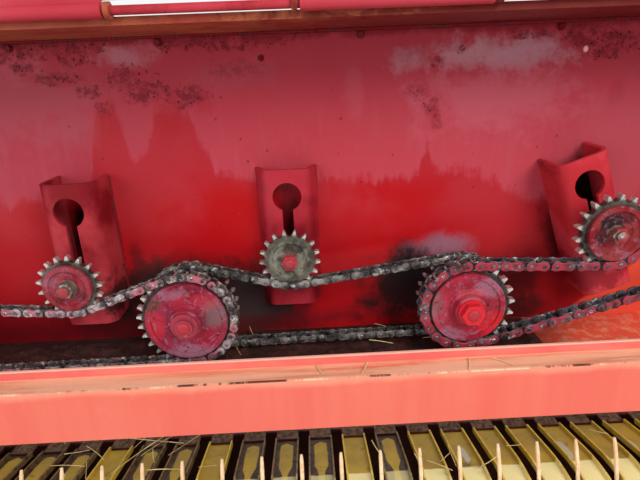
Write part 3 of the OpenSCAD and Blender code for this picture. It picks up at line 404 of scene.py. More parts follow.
def wallPaint():
    s = Shade("wallPaint")
    low, high, half = wallSet.lowZ, wallSet.highZ, wallSet.halfX
    share = s.math("DIVIDE", s.plus(s.x, half), 2 * half)
    curve = s.add("FloatCurve", {"Value": share})
    bend = curve.mapping.curves[0]
    points = [((x + half) / (2 * half), (z - low) / (high - low)) for x, z in wallSet.dustEdge]
    while len(bend.points) < len(points):
        bend.points.new(0.5, 0.5)
    for point, place in zip(bend.points, points):
        point.location = place
        point.handle_type = "VECTOR"
    curve.mapping.update()
    height = s.math("DIVIDE", s.minus(s.z, low), high - low)
    above = s.minus(height, curve.outputs[0])
    drips = s.noise(60, 5, 0.7, stretch=(1, 1, 0.15))
    ragged = s.noise(30, 7, 0.7)
    shake = s.plus(s.times(ragged, 0.13), drips, 0.12)
    edge = s.plus(above, s.minus(shake, 0.125))
    broad = s.noise(3.2, 4, 0.55)
    fine = s.noise(70, 5, 0.65)
    grit = s.noise(480, 3, 0.7)
    # clean paint: bright in the middle, deeper to the left; painted shade darkens it low down, most at the
    # lower left
    clean = s.twoTone(s.ease(s.x, -0.75, -0.05), (158, 28, 36), (174, 13, 19))
    clean = s.over(clean, (170, 30, 39), s.ease(s.x, 0.1, 0.4))
    clean = s.over(clean, (172, 48, 56), s.cloud(0.4, 0.68, 9, 5, 0.6), s.ease(s.z, 0.9, 1.0), 0.6)
    clean = s.over(clean, (170, 46, 57), s.ease(s.z, 0.99, 1.06), 0.65)
    # painted shade towards the trough, deepest at the lower left
    clean = s.over(clean, (164, 22, 30), s.ease(s.z, 0.96, 0.86), 0.6)
    clean = s.over(clean, (84, 16, 24), s.ease(s.z, 0.85, 0.77), s.ease(s.x, 0.0, -0.3), 0.7)
    dusty = s.twoTone(s.ease(s.x, -0.55, 0.1), (166, 60, 74), (182, 66, 79))
    dusty = s.over(dusty, (180, 48, 58), s.ease(broad, 0.42, 0.66), 0.4)
    dusty = s.over(dusty, (176, 84, 96), s.ease(drips, 0.5, 0.66), 0.2)
    dusty = s.over(dusty, (178, 52, 66), s.ease(s.z, 1.1, 1.2), 0.6)
    dustAmount = s.times(s.ease(edge, -0.018, 0.026), s.blend(0.2, 1.0, s.noise(18, 3, 0.6)))
    colour = s.mix(dustAmount, clean, dusty)
    colour = s.lay(colour, wallSet.cloudy, ragged, 2.2, 0.8)
    # painted shade: a dark band just under the ledge
    ledgeShade = s.times(s.ease(s.plus(s.z, ragged, 0.03), 1.248, 1.26), 0.7)
    colour = s.over(colour, (112, 20, 30), ledgeShade)
    # crumbs with a wet lace round them
    cluster = s.times(s.ease(s.z, 1.16, 1.22), s.near(s.math("ABSOLUTE", s.x), 0.66, 0.15, 0.02),
                      s.cloud(0.42, 0.6, 6.5, 4, 0.65, offset=(3, 0, 1)))
    shaken = s.times(s.minus(s.noise(75, 6, 0.75), 0.5), 3.0)
    for row in wallSet.crumbs:
        cluster = s.math("MAXIMUM", cluster, s.patch(row, shaken))
    crumb = s.plus(s.cells(170), s.noise(70, 6, 0.85), 1.6)
    speck = s.times(s.ease(crumb, 1.08, 0.9), s.ease(cluster, 0.1, 0.6), 0.85)
    lace = s.times(s.cloud(0.4, 0.6, 64, 6, 0.85), s.ease(cluster, 0.0, 0.6), 0.8)
    colour = s.over(colour, (112, 24, 36), lace)
    colour = s.over(colour, (60, 26, 28), speck)
    few = s.times(s.ease(s.cells(38), 0.1, 0.05), s.cloud(0.52, 0.56, 11, 2), 0.7)
    colour = s.over(colour, (98, 26, 30), few)
    pale = s.times(s.ease(s.cells(52, (1, 1, 1.3)), 0.05, 0.02),
                   s.cloud(0.5, 0.56, 9, 2, offset=(5, 0, 2)), 0.55)
    colour = s.over(colour, (222, 128, 128), pale)
    colour = s.lay(colour, [(0.426, 1.207, 0.005, 0.006, 1.0, "pale")], ragged, 0.4)
    # lower right: painted sunlight, bright orange under a slanting edge
    slant = s.minus(s.times(s.x, 0.8), s.z)
    sunPatch = s.times(s.ease(s.plus(slant, ragged, 0.02), -0.404, -0.392), s.ease(s.z, 0.885, 0.86))
    colour = s.over(colour, "sun", sunPatch, 0.9)
    # oil, and painted shade on the wall within the brackets, so that the keyholes look dark
    smear = s.noise(16, 6, 0.72, warp=0.5)
    colour = s.lay(colour, wallSet.greasy, smear, 1.7, 0.7)
    bracketShade = [(*leftBracket, 0.05, 0.11, 1.0, "pitAndShade"), (*midBracket, 0.03, 0.085, 0.9, "shade"),
              (*rightBracket, 0.055, 0.13, 1.0, "pitAndShade")]
    colour = s.lay(colour, bracketShade, fine, 0.5)
    rough = s.blend(dustAmount, 0.3, 0.55)
    normal = s.bump(s.plus(s.times(grit, 0.25), speck, 2.0), 0.0006, 0.5)
    normal = s.bump(s.noise(2.2, 3, 0.5), 0.012, 0.35, normal)
    return s.finish(colour, rough, normal)


# Beam in painted sunlight: red paint laid on salmon, faint runs, dusty streaks on top, a dirty broken edge
# line with painted highlight

beamLow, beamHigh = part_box("front_beam")
troughLow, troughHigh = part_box("trough_sheet")
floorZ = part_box("front_wall")[0][2]
beamSet = Look(edge=2.4 * mm, powder=14 * mm, sandy=22 * mm, redX=0.42)


def beamPaint():
    s = Shade("beamPaint")
    runs = s.noise(9, 5, 0.6, stretch=(1.6, 1, 0.08))
    broad = s.noise(3.5, 4, 0.6)
    fine = s.noise(90, 5, 0.65)
    along = s.noise(70, 6, 0.7, stretch=(0.06, 1, 1))
    # painted sunlight: the face's red paint is laid on as salmon
    colour = s.twoTone(s.ease(runs, 0.38, 0.66), (224, 104, 90), (226, 114, 96))
    colour = s.over(colour, (224, 104, 80), s.ease(broad, 0.5, 0.7), 0.5)
    colour = s.over(colour, (226, 74, 60), s.ease(s.x, beamSet.redX, beamSet.redX + 0.2), 0.8)
    rubs = s.times(s.cloud(0.6, 0.68, 5, 5, 0.7), 0.3)
    colour = s.over(colour, (238, 140, 118), rubs)
    up = s.ease(s.facing("z"), 0.5, 0.9)
    face = s.minus(1.0, up)
    high = s.plus(s.z, s.noise(20, 6, 0.7, stretch=(0.6, 1, 1)), 0.02)
    powder = s.ease(high, beamHigh[2] - beamSet.powder + 0.01, beamHigh[2] + 0.008)
    colour = s.over(colour, (236, 152, 124), powder, face, 0.8)
    dust = s.twoTone(s.ease(along, 0.36, 0.6), (222, 142, 110), (242, 180, 148))
    bare = s.cloud(0.54, 0.62, 34, 6, 0.7, stretch=(0.12, 1, 1), offset=(0, 3, 0))
    dust = s.over(dust, (234, 112, 94), bare, 0.8)
    deep = s.plus(s.y, s.noise(6, 5, 0.7, stretch=(1, 0.1, 0.1)), 0.03)
    sandy = s.ease(deep, beamLow[1] + beamSet.sandy, beamLow[1] + beamSet.sandy - 0.008)
    dust = s.over(dust, (246, 196, 162), sandy, 0.8)
    colour = s.mix(up, colour, dust)
    edge = beamSet.edge
    onTop = s.times(up, s.ease(s.y, beamLow[1] + edge * 1.6, beamLow[1] + edge))
    onFace = s.times(face, s.ease(s.z, beamHigh[2] - edge, beamHigh[2] - edge * 0.4))
    atEdge = s.math("MAXIMUM", onTop, onFace)
    broken = s.noise(9, 7, 0.75, stretch=(1, 0.2, 0.2))
    colour = s.over(colour, (104, 62, 50), atEdge, s.ease(broken, 0.5, 0.56))
    # painted highlight along the edge between the dirty breaks
    colour = s.over(colour, (250, 206, 170), atEdge, s.ease(broken, 0.45, 0.4))
    chip = s.cloud(0.72, 0.74, 28, 8, 0.75)
    colour = s.over(colour, (150, 84, 58), chip)
    rough = s.blend(up, 0.42, 0.8)
    normal = s.bump(s.plus(s.times(fine, 0.3), up, s.noise(240, 4)), 0.0012, 0.5)
    normal = s.bump(broad, 0.01, 0.3, normal)
    return s.finish(colour, rough, normal)


# Trough: dark oily floor with painted sunlight at the right; its lip is salmon in painted sunlight, with a
# painted highlight on top

troughSet = Look(lip=6 * mm, lipFoot=6 * mm, sunX=0.36)


def troughPaint():
    s = Shade("troughPaint")
    broad = s.noise(14, 6, 0.7)
    fine = s.noise(90, 5, 0.7)
    floor = s.twoTone(s.ease(broad, 0.42, 0.6), (44, 26, 25), (96, 20, 28))
    # painted sunlight on the floor's right part
    paintedSun = s.ease(s.plus(s.x, broad, 0.1), troughSet.sunX, troughSet.sunX + 0.14)
    sunlitFloor = s.twoTone(s.cloud(0.45, 0.62, 50, 6, 0.7), (232, 92, 68), (236, 140, 112))
    floor = s.mix(paintedSun, floor, sunlitFloor)
    runs = s.cloud(0.4, 0.64, 12, 5, 0.6, stretch=(0.4, 1, 1))
    # the lip's salmon and its pale top edge are painted sunlight and a painted highlight
    lip = s.twoTone(runs, (220, 104, 96), (226, 122, 110))
    lip = s.over(lip, (244, 186, 168), s.ease(s.z, troughHigh[2] - 2.6 * mm, troughHigh[2] - 1.2 * mm))
    front, foot = troughSet.lip, troughSet.lipFoot
    atLip = s.times(s.ease(s.y, troughLow[1] + front, troughLow[1] + front * 0.8),
                    s.ease(s.z, floorZ + foot, floorZ + foot * 1.2))
    colour = s.mix(atLip, floor, lip)
    colour = s.over(colour, (90, 48, 40), s.cloud(0.7, 0.72, 40, 8, 0.75))
    return s.finish(colour, s.blend(atLip, 0.62, 0.42), s.bump(fine, 0.0008, 0.5))


def dirtFinish(name, dark, light, scale=60, chaffTone=(150, 116, 78)):
    s = Shade(name)
    lumps = s.noise(scale, 7, 0.75)
    colour = s.twoTone(s.ease(lumps, 0.3, 0.7), dark, light)
    chaff = s.times(s.ease(s.cells(260, (1, 1, 0.4)), 0.16, 0.1), s.cloud(0.5, 0.6, 40, 3))
    colour = s.over(colour, chaffTone, chaff)
    height = s.plus(lumps, s.noise(300, 5, 0.7), 0.5)
    return s.finish(colour, 0.92, s.bump(height, 0.004, 0.8), specular=0.15)


# Bare metal: greasy brown-grey steel; teeth are bright beyond "rim" from the axis, other parts get bright
# rubbed patches, on chains and pins painted glints


def steel(name, axis=None, rim=1.0, over=None, overAmount=0.0, dark=(58, 52, 46), pale=(136, 130, 120),
          shine=(206, 204, 198), metal=0.7, grime=0.0):
    s = Shade(name)
    broad = s.noise(45, 6, 0.7)
    fine = s.noise(260, 5, 0.7)
    colour = s.twoTone(s.ease(broad, 0.38, 0.62), dark, pale)
    rough = s.blend(fine, 0.34, 0.62)
    if axis is not None:
        far = s.fromAxis((axis[0], 0, axis[1]), (1, 0, 1))
        tip = s.times(s.ease(far, rim - 0.002, rim + 0.002), s.ease(fine, 0.3, 0.5))
        colour = s.over(colour, shine, tip)
        rough = s.blend(tip, rough, 0.3)
        gunk = s.times(s.near(far, rim - 0.006, 0.002, 0.005), s.ease(broad, 0.35, 0.55), 0.45)
        colour = s.over(colour, "oil", gunk)
    else:
        # bright patches: rubbed wear, and painted glints on chain plates and pins
        rubbedAndGlint = s.times(s.cloud(0.57, 0.68, 110, 4, 0.6), 0.7)
        colour = s.over(colour, shine, rubbedAndGlint)
    if over:
        foot = 0.68 - 0.36 * overAmount
        painted = s.cloud(foot, foot + 0.06, 38, 6, 0.7, offset=(2, 1, 0))
        colour = s.over(colour, over, painted)
        rough = s.blend(painted, rough, 0.5)
        metal = s.blend(painted, metal, 0.0)
    if grime:
        colour = s.over(colour, "oil", s.cloud(0.46, 0.62, 52, 4, 0.6, offset=(5, 0, 3)), grime)
    normal = s.bump(s.plus(broad, fine, 0.5), 0.0008, 0.5)
    return s.finish(colour, rough, normal, metal, specular=0.3)


# Stripper bands: mustard floors at the right, brown ones with a yellow tongue at the left, pale rims as
# painted highlights, painted sunlight in front

bandSet = Look(
    pitch=0.066, halfWidth=0.023, mustardX=0.165, yellowBands=(-6, -3, 1), sunY=-0.034,
    tongueHalf=0.0125, tongueBack=0.076, tongueNeck=0.0,
    # worn grey places, as (x, y, half width, half length)
    worn=[(0.265, 0.003, 0.007, 0.022), (0.451, 0.002, 0.008, 0.026), (0.578, 0.005, 0.008, 0.024)],
)


def bandPaint():
    s = Shade("bandPaint")
    pitch = bandSet.pitch
    cell = s.plus(s.math("DIVIDE", s.x, pitch), 0.5)
    whole = s.math("FLOOR", cell)
    across = s.times(s.minus(s.minus(cell, whole), 0.5), pitch)
    aside = s.math("ABSOLUTE", across)
    broad = s.noise(14, 5, 0.65)
    fine = s.noise(80, 6, 0.7)
    wobble = s.minus(s.noise(36, 5, 0.7), 0.5)
    mustard = s.twoTone(s.ease(broad, 0.35, 0.65), (176, 142, 46), (152, 122, 50))
    mustard = s.over(mustard, (110, 82, 40), s.cloud(0.6, 0.66, 30, 6, 0.7), 0.5)
    brown = s.twoTone(s.ease(fine, 0.35, 0.65), (46, 31, 23), (82, 58, 41))
    isYellow = s.ease(s.plus(s.x, broad, 0.02), bandSet.mustardX, bandSet.mustardX + 0.02)
    for k in bandSet.yellowBands:
        isYellow = s.math("MAXIMUM", isYellow, s.near(s.x, k * pitch, 0.028, 0.002))
    # tongue: as wide as a thumb, round at its back end, drawn in like a bottle towards the front
    back = s.ease(s.plus(s.y, wobble, 0.02), bandSet.tongueBack, bandSet.tongueBack - 0.012)
    neck = s.blend(s.ease(s.y, bandSet.tongueNeck, bandSet.tongueNeck - 0.03), 1.0, 0.45)
    reach = s.times(back, neck, bandSet.tongueHalf)
    over = s.minus(s.plus(reach, wobble, 0.006), aside)
    tongue = s.times(s.ease(over, -0.0008, 0.0012), s.ease(back, 0.02, 0.2))
    colour = s.mix(s.math("MAXIMUM", isYellow, tongue), brown, mustard)
    spill = s.times(s.cloud(0.6, 0.66, 24, 6, 0.75, offset=(4, 2, 0)), 0.6)
    colour = s.over(colour, (64, 44, 34), spill)
    for x, y, wide, long in bandSet.worn:
        grey = s.ease(s.plus(s.oval(x, y, wide, long, "z"), wobble, 2.0), 1.1, 0.9)
        colour = s.over(colour, (176, 172, 160), grey, 0.85)
    # painted sunlight on the bands' front parts
    paintedSun = s.ease(s.plus(s.y, wobble, 0.008), bandSet.sunY + 0.002, bandSet.sunY - 0.002)
    paintedSun = s.times(paintedSun, s.ease(s.z, 0.46, 0.5))
    colour = s.over(colour, (236, 222, 160), paintedSun, s.blend(isYellow, 0.55, 0.9))
    # painted highlight along the flange rims
    rim = s.ease(aside, bandSet.halfWidth - 0.0034, bandSet.halfWidth - 0.0026)
    rimHighlight = s.twoTone(isYellow, (120, 92, 56), (204, 168, 62))
    colour = s.mix(s.times(rim, s.ease(fine, 0.3, 0.55)), colour, rimHighlight)
    chip = s.cloud(0.68, 0.7, 60, 7, 0.75)
    colour = s.over(colour, (60, 40, 30), chip)
    normal = s.bump(s.plus(chip, fine, 0.6), 0.0009, 0.5)
    return s.finish(colour, 0.55, normal)


def dryStalk(name, dark, light):
    s = Shade(name)
    colour = s.twoTone(s.cloud(0.3, 0.7, 30, 4, 0.6), dark, light)
    return s.finish(colour, 0.7, s.bump(s.noise(500, 3, 0.6, stretch=(1, 1, 0.1)), 0.0004, 0.5))


# Finishes of the carried-over nodes

bigSheet = dict(clean=(180, 34, 42), deep=(160, 28, 38), dusty=(182, 66, 80))
side = dict(bigSheet, dust=0.55, dirt=0.45, patch=3.5, spots=[(0, 0.0, 2.0, 0.12, 0.6, "mud")])
# brackets: painted shade on their faces that look back at the wall
bracket = dict(patch=9, inside=0.9)
# settings of the red paint by node; spots are measured from the axis, where one is given
paintRows = {
    "wall_ribs": dict(dust=0.35, dirt=0.5, seed=3, spots=[(-0.06, 1.205, 0.04, 0.03, 1.0, "pitAndShade")]),
    # the ledge's brown-orange is painted bounce light from the sunlit beam below, over dust; its dark
    # patches are painted shade
    "top_ledge": dict(
        dust=0.3, dirt=0.5, patch=7, seed=7, clean=(164, 70, 50), deep=(140, 48, 40), dusty=(170, 104, 66),
        spots=[(0.3, 1.26, 0.4, 0.08, 0.8, "shade"), (0.75, 1.26, 0.4, 0.08, 0.8, "shade")]),
    "rear_cross_tubes": dict(bigSheet, dust=0.5, dirt=0.4, seed=9),
    "hinge_rod": dict(dust=0.3, dirt=0.4, patch=12, seed=11, clean=(190, 52, 58)),
    "shield_sheet": dict(bigSheet, dust=0.7, dirt=0.12, patch=3, seed=13),
    "side_plate_left": dict(side, seed=15),
    "side_plate_right": dict(side, seed=17),
    "bracket_left": dict(
        bracket, dust=0.4, dirt=0.25, seed=19, clean=(174, 40, 50), dusty=(180, 66, 74), axis=leftIdler,
        spots=[(0.06, -0.05, 0.045, 0.05, 0.85, "oil"), (0.045, 0.165, 0.012, 0.02, 0.9, "soot")]),
    # the dark spot below the idler is painted shade
    "bracket_middle": dict(
        bracket, inside=0.6, dust=0.5, dirt=0.2, seed=21, clean=(166, 24, 36), dusty=(172, 50, 64),
        axis=midIdler, spots=[(0.0, -0.04, 0.04, 0.02, 0.7, "shade"), (0.0, 0.0, 0.04, 0.05, 0.4, "soot")]),
    # the dark spot at the bottom, under the chain, is painted shade
    "bracket_right": dict(
        bracket, dust=0.2, dirt=0.3, seed=23, clean=(198, 48, 58), dusty=(200, 80, 90), deep=(176, 40, 48),
        axis=rightIdler,
        spots=[(0.0, -0.09, 0.07, 0.035, 0.6, "shade"), (-0.082, 0.03, 0.018, 0.13, 0.55, "soot")]),
    "feed_floor": dict(
        dust=0.3, dirt=1.0, seed=25, clean=(88, 34, 30), deep=(56, 26, 24), dusty=(96, 58, 46)),
    # the sheets behind the reel are dark with dirt and painted shade; they show in the gaps between the
    # bands
    "reel_back_sheets": dict(
        dust=0.4, dirt=1.0, seed=26, clean=(74, 26, 24), deep=(46, 20, 20), dusty=(84, 54, 44)),
    "lower_band_rail": dict(dust=0.4, dirt=0.8, seed=27),
    "reel_discs": dict(dust=0.5, dirt=0.6, seed=29),
    "tine_bars": dict(dust=0.5, dirt=0.7, seed=31, clean=(96, 30, 30), dusty=(104, 62, 50)),
    "idler_cap_left": dict(
        dust=0.5, patch=26, dirt=0.3, wear=0.9, seed=33, mottle=0.7, dusty=(140, 70, 82),
        clean=(166, 30, 46), axis=leftIdler,
        spots=[(0.015, -0.012, 0.02, 0.014, 0.6, "soot"), (-0.02, 0.01, 0.012, 0.014, 0.5, "lilac")]),
    "idler_cap_right": dict(
        dust=0.4, patch=22, dirt=0.4, wear=1.3, seed=35, mottle=0.9, dusty=(120, 60, 62),
        clean=(150, 30, 36), axis=rightIdler,
        spots=[(-0.006, 0.018, 0.03, 0.014, 0.95, "oil"), (-0.02, 0.0, 0.014, 0.022, 0.8, "oil")]),
    "sprocket_disc_left": dict(
        dust=0.4, patch=20, dirt=0.3, wear=1.0, seed=37, mottle=1.0, dusty=(138, 56, 80),
        clean=(142, 22, 42), deep=(106, 18, 36), axis=leftDrive,
        spots=[(0.0, -0.052, 0.05, 0.016, 0.8, "lilac"), (0.045, 0.012, 0.022, 0.03, 0.6, "ash"),
               (-0.048, 0.03, 0.02, 0.014, 0.8, "mud"), (-0.045, -0.004, 0.018, 0.03, 0.4, "bright"),
               (0.015, 0.03, 0.05, 0.02, 0.25, "bright"), (0.03, -0.03, 0.03, 0.02, 0.5, "crimson"),
               (-0.02, 0.045, 0.03, 0.012, 0.5, "lilac")]),
    "sprocket_disc_right": dict(
        dust=0.45, patch=15, dirt=0.25, wear=0.7, seed=39, mottle=0.8, dusty=(158, 60, 80),
        clean=(170, 26, 42), deep=(134, 22, 38), axis=rightDrive,
        spots=[(-0.035, -0.045, 0.036, 0.018, 0.8, "lilac"), (0.035, 0.035, 0.03, 0.022, 0.7, "lilac"),
               (0.038, -0.03, 0.024, 0.03, 0.7, "bright"), (-0.05, 0.01, 0.016, 0.03, 0.5, "ash"),
               # the pale pink arc just above the hub is a painted highlight
               (0.0, 0.02, 0.03, 0.012, 0.5, "paintedHighlight"), (-0.02, 0.05, 0.03, 0.012, 0.5, "crimson")]),
}
darkWheel = dict(dark=(40, 34, 34), pale=(92, 84, 82))
cast = dict(dark=(70, 50, 44), pale=(112, 96, 88))
skid = dict(dark=(90, 56, 40), pale=(140, 104, 84), shine=(180, 170, 158))
steelRows = {
    "idler_left": dict(axis=leftIdler, rim=0.041),
    "idler_middle": dict(axis=midIdler, rim=0.041, dark=(74, 68, 58), pale=(146, 142, 128), grime=0.55),
    "idler_right": dict(axis=rightIdler, rim=0.05),
    "drive_sprocket_left": dict(darkWheel, axis=leftDrive, rim=0.068),
    "drive_sprocket_right": dict(darkWheel, axis=rightDrive, rim=0.064),
    "end_sprocket_left": dict(axis=leftEnd, rim=0.057),
    "end_sprocket_right": dict(axis=rightEnd, rim=0.086),
    "drive_shaft_left": dict(over=(150, 48, 62), overAmount=0.8, dark=(84, 50, 50), pale=(130, 96, 96)),
    "drive_shaft_right": dict(over=(196, 30, 42), overAmount=1.0),
    "end_shaft_left": {},
    "end_shaft_right": {},
    "idler_bolt_left": dict(over=(120, 50, 52), overAmount=0.25, dark=(84, 72, 62), pale=(150, 138, 124)),
    "idler_bolt_middle": dict(over=(178, 50, 62), overAmount=0.85, dark=(84, 76, 66), pale=(140, 130, 118)),
    "idler_bolt_right": dict(over=(180, 40, 46), overAmount=0.6, dark=(84, 60, 54), pale=(140, 110, 100)),
    "shaft_bearings": dict(cast, over=(140, 40, 44), overAmount=0.3),
    "reel_bearings": cast,
    "reel_tube": dict(dark=(70, 46, 34), pale=(122, 92, 70)),
    "shield_handle": dict(over=(170, 40, 44), overAmount=0.5),
    "skid_left": skid,
    "skid_right": skid,
}
finishes = {"front_wall": wallPaint(), "trough_sheet": troughPaint(), "front_beam": beamPaint(),
            "stripper_bands": bandPaint()}
finishes.update({node: redPaint(node, **row) for node, row in paintRows.items()})
finishes.update({node: steel(node, **row) for node, row in steelRows.items()})
for nodeName, material in finishes.items():
    mesh = nodes[nodeName].data
    mesh.materials.clear()
    mesh.materials.append(material)
print("materials set:", len(finishes))

# Roller chains. A wheel is (centre, teeth, way): way 1 runs inside the loop, -1 presses from outside

plateSet = Look(bow=72, steps=8, dipAt=0.14, chamfer=0.9 * mm, bevel=0.22, waist=0.76)
pinSet = Look(out=0.5 * mm, tip=0.6 * mm, nose=0.7, sides=10)
rollerSet = Look(play=0.15 * mm, gap=0.3 * mm, nose=0.86, sides=14)
chainSets = {
    "light": Look(pitch=15.875 * mm, roller=5.08 * mm, inner=4.9 * mm, plate=2.0 * mm, gap=0.1 * mm,
                  height=15.0 * mm, outerHeight=13.2 * mm, pin=2.54 * mm),
    "heavy": Look(pitch=19.05 * mm, roller=5.95 * mm, inner=6.45 * mm, plate=2.35 * mm, gap=0.1 * mm,
                  height=18.0 * mm, outerHeight=15.8 * mm, pin=2.97 * mm),
}


def pinPlaces(wheels, pitch):
    # pins a pitch apart, anticlockwise: an arc on each wheel, then the straight run to the next one
    count = len(wheels)
    radius = [pitch / np.sin(np.pi / teeth) / 2 for _, teeth, _ in wheels]
    angles, lengths = [], []
    for i, (centre, _, way) in enumerate(wheels):
        nextCentre, _, nextWay = wheels[(i + 1) % count]
        span = np.subtract(nextCentre, centre)
        far = np.hypot(*span)
        differ = nextWay * radius[(i + 1) % count] - way * radius[i]
        angles.append(np.arctan2(span[1], span[0]) - np.arcsin(differ / far))
        lengths.append(np.sqrt(far ** 2 - differ ** 2))
    pieces, start = [], 0.0
    for i, (centre, teeth, way) in enumerate(wheels):
        turn = (way * (angles[i] - angles[i - 1])) % (2 * np.pi)
        step = 2 * np.pi / teeth
        first = angles[i - 1] - way * np.pi / 2
        pieces.append(("arc", start, start + turn / step, centre, radius[i], way, first, step))
        start += turn / step
        leave = angles[i] - way * np.pi / 2
        foot = np.array(centre) + radius[i] * np.array([np.cos(leave), np.sin(leave)])
        pieces.append(("run", start, start + lengths[i] / pitch, foot, angles[i]))
        start += lengths[i] / pitch
    places = np.zeros((round(start), 2))
    at = np.arange(len(places), dtype=float)
    for piece in pieces:
        here = (at >= piece[1]) & (at < piece[2])
        along = at[here] - piece[1]
        if piece[0] == "arc":
            _, _, _, centre, r, way, first, step = piece
            angle = first + way * along * step
            places[here] = np.array(centre) + r * np.stack([np.cos(angle), np.sin(angle)], -1)
        else:
            _, _, _, foot, angle = piece
            places[here] = foot + (along * pitch)[:, None] * np.array([np.cos(angle), np.sin(angle)])
    return places


def platePart(pitch, height, thick, look):
    # figure-of-eight outline: half circles round both pins and a waist between, with a small chamfer
    r = height / 2
    bow = np.radians(np.linspace(-look.bow, look.bow, look.steps))
    right = np.stack([pitch / 2 + r * np.cos(bow), r * np.sin(bow)], -1)
    dip = np.array([[pitch * look.dipAt, r * look.waist], [-pitch * look.dipAt, r * look.waist]])
    outline = np.concatenate([right, dip, -right, -dip])
    inset = outline * [1 - look.chamfer / (pitch / 2 + r), 1 - look.chamfer / r]
    flat = thick / 2 - thick * look.bevel
    levels = [(inset, -thick / 2), (outline, -flat), (outline, flat), (inset, thick / 2)]
    rings = [np.column_stack([shape[:, 0], np.full(len(shape), y), shape[:, 1]]) for shape, y in levels]
    return gridPart(np.stack(rings))


def chainParts(wheels, size, rowY):
    pins = pinPlaces(wheels, size.pitch)
    after = np.roll(pins, -1, 0)
    along = after - pins
    along /= np.linalg.norm(along, axis=1)[:, None]
    zero = np.zeros(len(pins))
    axes = np.stack([
        np.stack([along[:, 0], zero, along[:, 1]], -1),
        np.repeat([[0.0, 1.0, 0.0]], len(pins), 0),
        np.stack([-along[:, 1], zero, along[:, 0]], -1)], 1)
    centres = (pins + after) / 2
    parts = {"outer": [], "inner": []}
    for odd, layer, height in ((0, 1, size.outerHeight), (1, 0, size.height)):
        plate = platePart(size.pitch, height, size.plate, plateSet)
        offset = size.inner + size.plate * (layer + 0.5) + size.gap * (layer + 1)
        for side in (-1, 1):
            origin = np.stack([centres[:, 0], zero + rowY + side * offset, centres[:, 1]], -1)[odd::2]
            parts["inner" if odd else "outer"].append(stamp(plate, origin, axes[odd::2]))
    reach = size.inner + 2 * size.plate + 3 * size.gap + pinSet.out
    r, tip = size.pin, reach + pinSet.tip
    slim = r * pinSet.nose
    pin = lathe([(slim, -tip), (r, -reach), (r, reach), (slim, tip)], pinSet.sides)
    r, half, nose = size.roller - rollerSet.play, size.inner - rollerSet.gap, rollerSet.nose
    roller = lathe([(r * nose, -half), (r, -half * nose), (r, half * nose), (r * nose, half)],
                   rollerSet.sides)
    spots = np.stack([pins[:, 0], zero + rowY, pins[:, 1]], -1)
    parts["pins"] = [stampAlong(pin, spots, "y"), stampAlong(roller, spots, "y")]
    return parts


frontRow = middle("chain_left")[1]
backRow = middle("chain_middle")[1]
chainLoops = {
    "left": ("chain_left", "light", frontRow, [(leftDrive, 28, 1), (leftIdler, 17, -1), (leftEnd, 23, 1)]),
    "middle": ("chain_middle", "light", backRow,
               [(rightDrive, 25, 1), (midIdler, 17, -1), (leftDrive, 27, 1)]),
    "right": ("chain_right", "heavy", middle("chain_right")[1],
              [(rightEnd, 29, 1), (rightIdler, 17, -1), (rightDrive, 22, 1)]),
}
# outer plates, then inner plates; pale tones are painted highlights, and the darker inner plates carry
# painted shade between the outer ones
plateSteel = {
    "left": (dict(over=(168, 88, 100), overAmount=0.5, dark=(66, 50, 54), pale=(188, 166, 168), metal=0.3,
                  grime=0.6),
             dict(dark=(30, 25, 25), pale=(112, 102, 98), metal=0.4, grime=0.8)),
    "middle": (dict(dark=(50, 46, 46), pale=(146, 138, 132), metal=0.4, grime=0.6),
               dict(dark=(30, 28, 28), pale=(100, 96, 92), metal=0.4, grime=0.8)),
    "right": (dict(over=(150, 44, 60), overAmount=0.72, dark=(52, 32, 38), pale=(134, 98, 102), metal=0.3,
                   grime=0.55),
              dict(over=(104, 42, 50), overAmount=0.3, dark=(32, 29, 33), pale=(88, 86, 94), metal=0.4,
                   grime=0.7)),
}
# pins and rollers: the bright patches are painted glints
pinSteel = steel("pinSteel", dark=(46, 44, 48), pale=(120, 120, 126), shine=(226, 226, 226))
for name, (node, kind, rowY, wheels) in chainLoops.items():
    parts = chainParts(wheels, chainSets[kind], rowY)
    outerRow, innerRow = plateSteel[name]
    steels = {"outer": steel(name + "OuterPlates", **outerRow),
              "inner": steel(name + "InnerPlates", **innerRow), "pins": pinSteel}
    outer, *_ = [addPiece("chain_%s_%s" % (name, layer), joinParts(parts[layer]), "frame",
                          material) for layer, material in steels.items()]
    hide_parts(node)
print("chains made")

# Tines: a spring coil round the bar and a finger that bends back towards its tip

tineSet = Look(reach=277 * mm, barR=13 * mm, wire=3.4 * mm, turns=2.5, bend=9 * mm, barCircle=135.28 * mm,
               count=24, spacing=66 * mm, bars=4, phase=13.0, coilGap=0.4 * mm, coilPitch=2.1, coilSteps=30,
               bendFrom=0.45, bendShare=0.3, steps=16, tipGap=1 * mm, taper=(1.0, 0.95, 0.66), sides=8)


